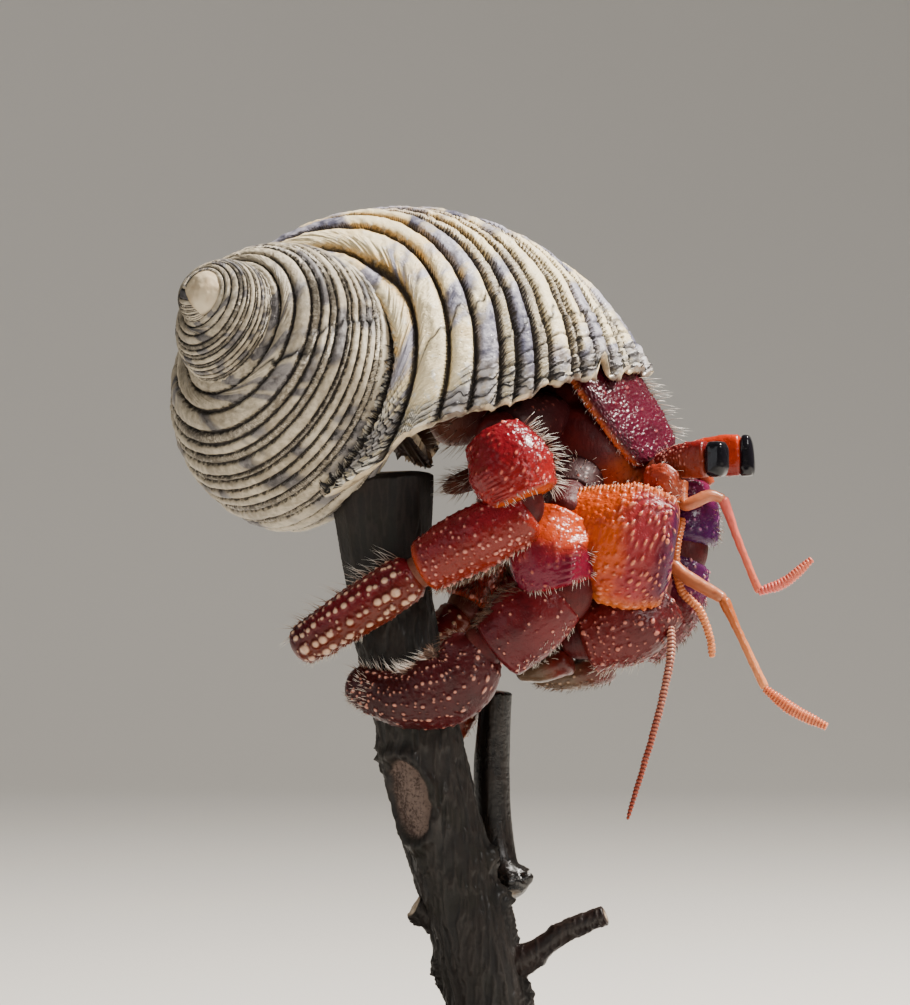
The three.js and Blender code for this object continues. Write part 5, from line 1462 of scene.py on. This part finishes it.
# fields of bristles: plate, turns, span along it, count, length, lean, and now and then a rarer value
paleFields = (
    ("carapace_shield", (8, 52), (0.16, 0.97), 46, 2.8, 0.3),
    ("carapace_shield", (172, 196), (0.1, 0.95), 60, 0.9, 0.3, ("thick", 0.04)),
    ("leg3_right_carpus", (52, 108), (0.12, 0.98), 95, 2.4, 0.1),
    ("leg3_right_carpus", (150, 260), (0.9, 0.98), 34, 1.0, 0.8),
    ("leg3_right_propodus", (80, 118), (0.05, 0.97), 80, 1.0, 0.5),
    ("leg3_right_dactyl", (255, 320), (0.05, 0.98), 90, 3.4, 0.5),
    ("leg3_right_dactyl", (60, 130), (0.5, 0.99), 70, 1.0, 0.6),
    ("cheliped_right_carpus", (240, 290), (0.08, 0.42), 80, 1.5, -0.2),
    ("cheliped_right_carpus", (70, 118), (0.02, 0.97), 50, 0.8, 0.4),
    ("leg2_right_carpus", (66, 118), (0.06, 0.96), 80, 1.1, 0.3),
    ("leg2_right_carpus", (120, 260), (0.9, 0.98), 50, 1.1, 0.8),
    ("leg2_right_propodus", (80, 140), (0.1, 0.9), 60, 0.8, 0.6),
    ("leg2_right_dactyl", (240, 310), (0.35, 0.99), 120, 2.3, 0.5),
    ("leg2_right_dactyl", (60, 225), (0.8, 0.99), 110, 0.9, 0.7, ("tone", 0.5)),
    ("leg2_right_merus", (0, 360), (0.15, 0.95), 130, 1.5, 0.3),
    ("cheliped_right_palm", (60, 130), (0.5, 0.98), 70, 1.5, 0.5),
    ("cheliped_right_finger", (200, 330), (0.1, 0.95), 90, 0.9, 0.3),
    ("mantle", (90, 300), (0.2, 0.98), 160, 2.4, 0.8, ("tone", 0.4)),
    ("leg4_right", (90, 300), (0.3, 0.98), 220, 2.0, 0.8, ("tone", 0.2)),
    ("eyestalk_right", (40, 140), (0.02, 0.3), 26, 0.8, 0.3, ("thick", 0.03)),
    ("antenna_base_right", (0, 360), (0.2, 0.95), 40, 1.0, 0.6),
    ("leg3_left_dactyl", (0, 360), (0.1, 0.98), 130, 1.5, 0.6),
    ("leg2_left_dactyl", (0, 360), (0.1, 0.98), 130, 1.5, 0.6),
    ("leg3_left_carpus", (0, 360), (0.7, 0.98), 90, 1.3, 0.6),
    ("leg2_left_carpus", (0, 360), (0.7, 0.98), 90, 1.3, 0.6),
)
brownFields = (
    ("leg3_left_propodus", (90, 270), (0.2, 0.98), 460, 1.5, 0.9),
    ("leg2_left_carpus", (90, 270), (0.1, 0.98), 330, 1.4, 0.9),
    ("leg2_right_propodus", (238, 330), (0.3, 0.98), 380, 1.4, 0.8),
    ("leg2_right_dactyl", (240, 330), (0.0, 0.4), 260, 1.5, 0.8),
    ("leg3_right_propodus", (60, 112), (0.4, 0.98), 200, 1.1, 0.8),
    ("cheliped_left_finger", (60, 150), (0.1, 0.98), 130, 0.7, 0.6),
    ("cheliped_left_palm", (60, 130), (0.3, 0.98), 160, 0.8, 0.6),
    ("cheliped_left_carpus", (40, 130), (0.4, 0.98), 90, 0.9, 0.3),
)
bristlePiece("bristles_pale", paleFields, paleBristles, 3)
bristlePiece("bristles_brown", brownFields, brownBristles, 7)


# stage and lens in millimetres; places and sizes of the lights and of the camera in metres
studio = {
    "halfWidth": 2600, "front": -1500, "back": 900, "curve": 600, "top": 2600,
    "air": (0.92, 0.93, 0.96), "airStrength": 0.16,
    "cameraPlace": (0, -0.7, 0.0941), "lens": 175.5, "aim": (0.0, 0.0, 0.095),
}
lights = {
    "keyLight": {"place": (0.34, 0.02, 0.62), "size": 0.14, "power": 15.5, "colour": (1.0, 0.95, 0.88)},
    "frontLight": {"place": (0.50, -0.70, 0.50), "size": 0.24, "power": 2.6, "colour": (1.0, 0.98, 0.96)},
    "fillLight": {"place": (-0.8, -0.6, 0.25), "size": 0.6, "power": 0.9, "colour": (0.92, 0.95, 1.0)},
}


def buildStage():
    # a pale floor that sweeps up behind the model in one curve
    front, back, curve = studio["front"], studio["back"], studio["curve"]
    across = np.linspace(-studio["halfWidth"], studio["halfWidth"], 3)
    run = np.concatenate([np.linspace(front, back, 4), np.linspace(back, back + curve, 24)[1:],
                          [back + curve]])
    bend = np.clip((run - back) / curve, 0, 1) * math.pi / 2
    depth = np.where(run <= back, run, back + curve * np.sin(bend))
    height = np.where(run <= back, 0, curve * (1 - np.cos(bend)))
    height[-1] = studio["top"]
    grid = np.stack([np.broadcast_to(across, (len(run), 3)), np.repeat(depth[:, None], 3, 1),
                     np.repeat(height[:, None], 3, 1)], -1)
    shade = Shade("paleFloor")
    tint = shade.mix(shade.noise(3), (0.70, 0.67, 0.62), (0.76, 0.73, 0.68))
    material = shade.finish(colour=tint, roughness=0.85, specular=0.2)
    mesh = bpy.data.meshes.new("studio_sweep")
    mesh.from_pydata((grid.reshape(-1, 3) * millimetre).tolist(), [],
                     gridFaces(len(run), 3, wrap=False)[:, ::-1].tolist())
    mesh.polygons.foreach_set("use_smooth", [True] * len(mesh.polygons))
    mesh.materials.append(material)
    sweep = bpy.data.objects.new("studio_sweep", mesh)
    bpy.context.scene.collection.objects.link(sweep)


def softLight(name, spec):
    # a round lamp at its place, turned to shine on the middle of the model
    lamp = bpy.data.lights.new(name, "AREA")
    lamp.shape = "DISK"
    lamp.size = spec["size"]
    lamp.energy = spec["power"]
    lamp.color = spec["colour"]
    holder = bpy.data.objects.new(name, lamp)
    holder.location = spec["place"]
    aim = np.array(studio["aim"]) - np.array(spec["place"])
    level = math.hypot(aim[0], aim[1])
    holder.rotation_euler = (math.atan2(level, -aim[2]), 0, math.atan2(aim[1], aim[0]) - math.pi / 2)
    bpy.context.scene.collection.objects.link(holder)


def buildLightAndCamera():
    for name, spec in lights.items():
        softLight(name, spec)
    world = bpy.data.worlds.new("studioAir")
    world.use_nodes = True
    world.node_tree.nodes["Background"].inputs["Color"].default_value = (*studio["air"], 1)
    world.node_tree.nodes["Background"].inputs["Strength"].default_value = studio["airStrength"]
    bpy.context.scene.world = world
    camera = bpy.data.cameras.new("viewCamera")
    camera.sensor_width = 36
    camera.lens = studio["lens"]
    camera.clip_start = 0.01
    camera.clip_end = 20
    holder = bpy.data.objects.new("viewCamera", camera)
    holder.location = studio["cameraPlace"]
    holder.rotation_euler = (math.pi / 2, 0, 0)
    bpy.context.scene.collection.objects.link(holder)
    bpy.context.scene.camera = holder


buildStage()
buildLightAndCamera()
print("stage, light and camera placed")
print("triangles", sum(triangleCount.values()))
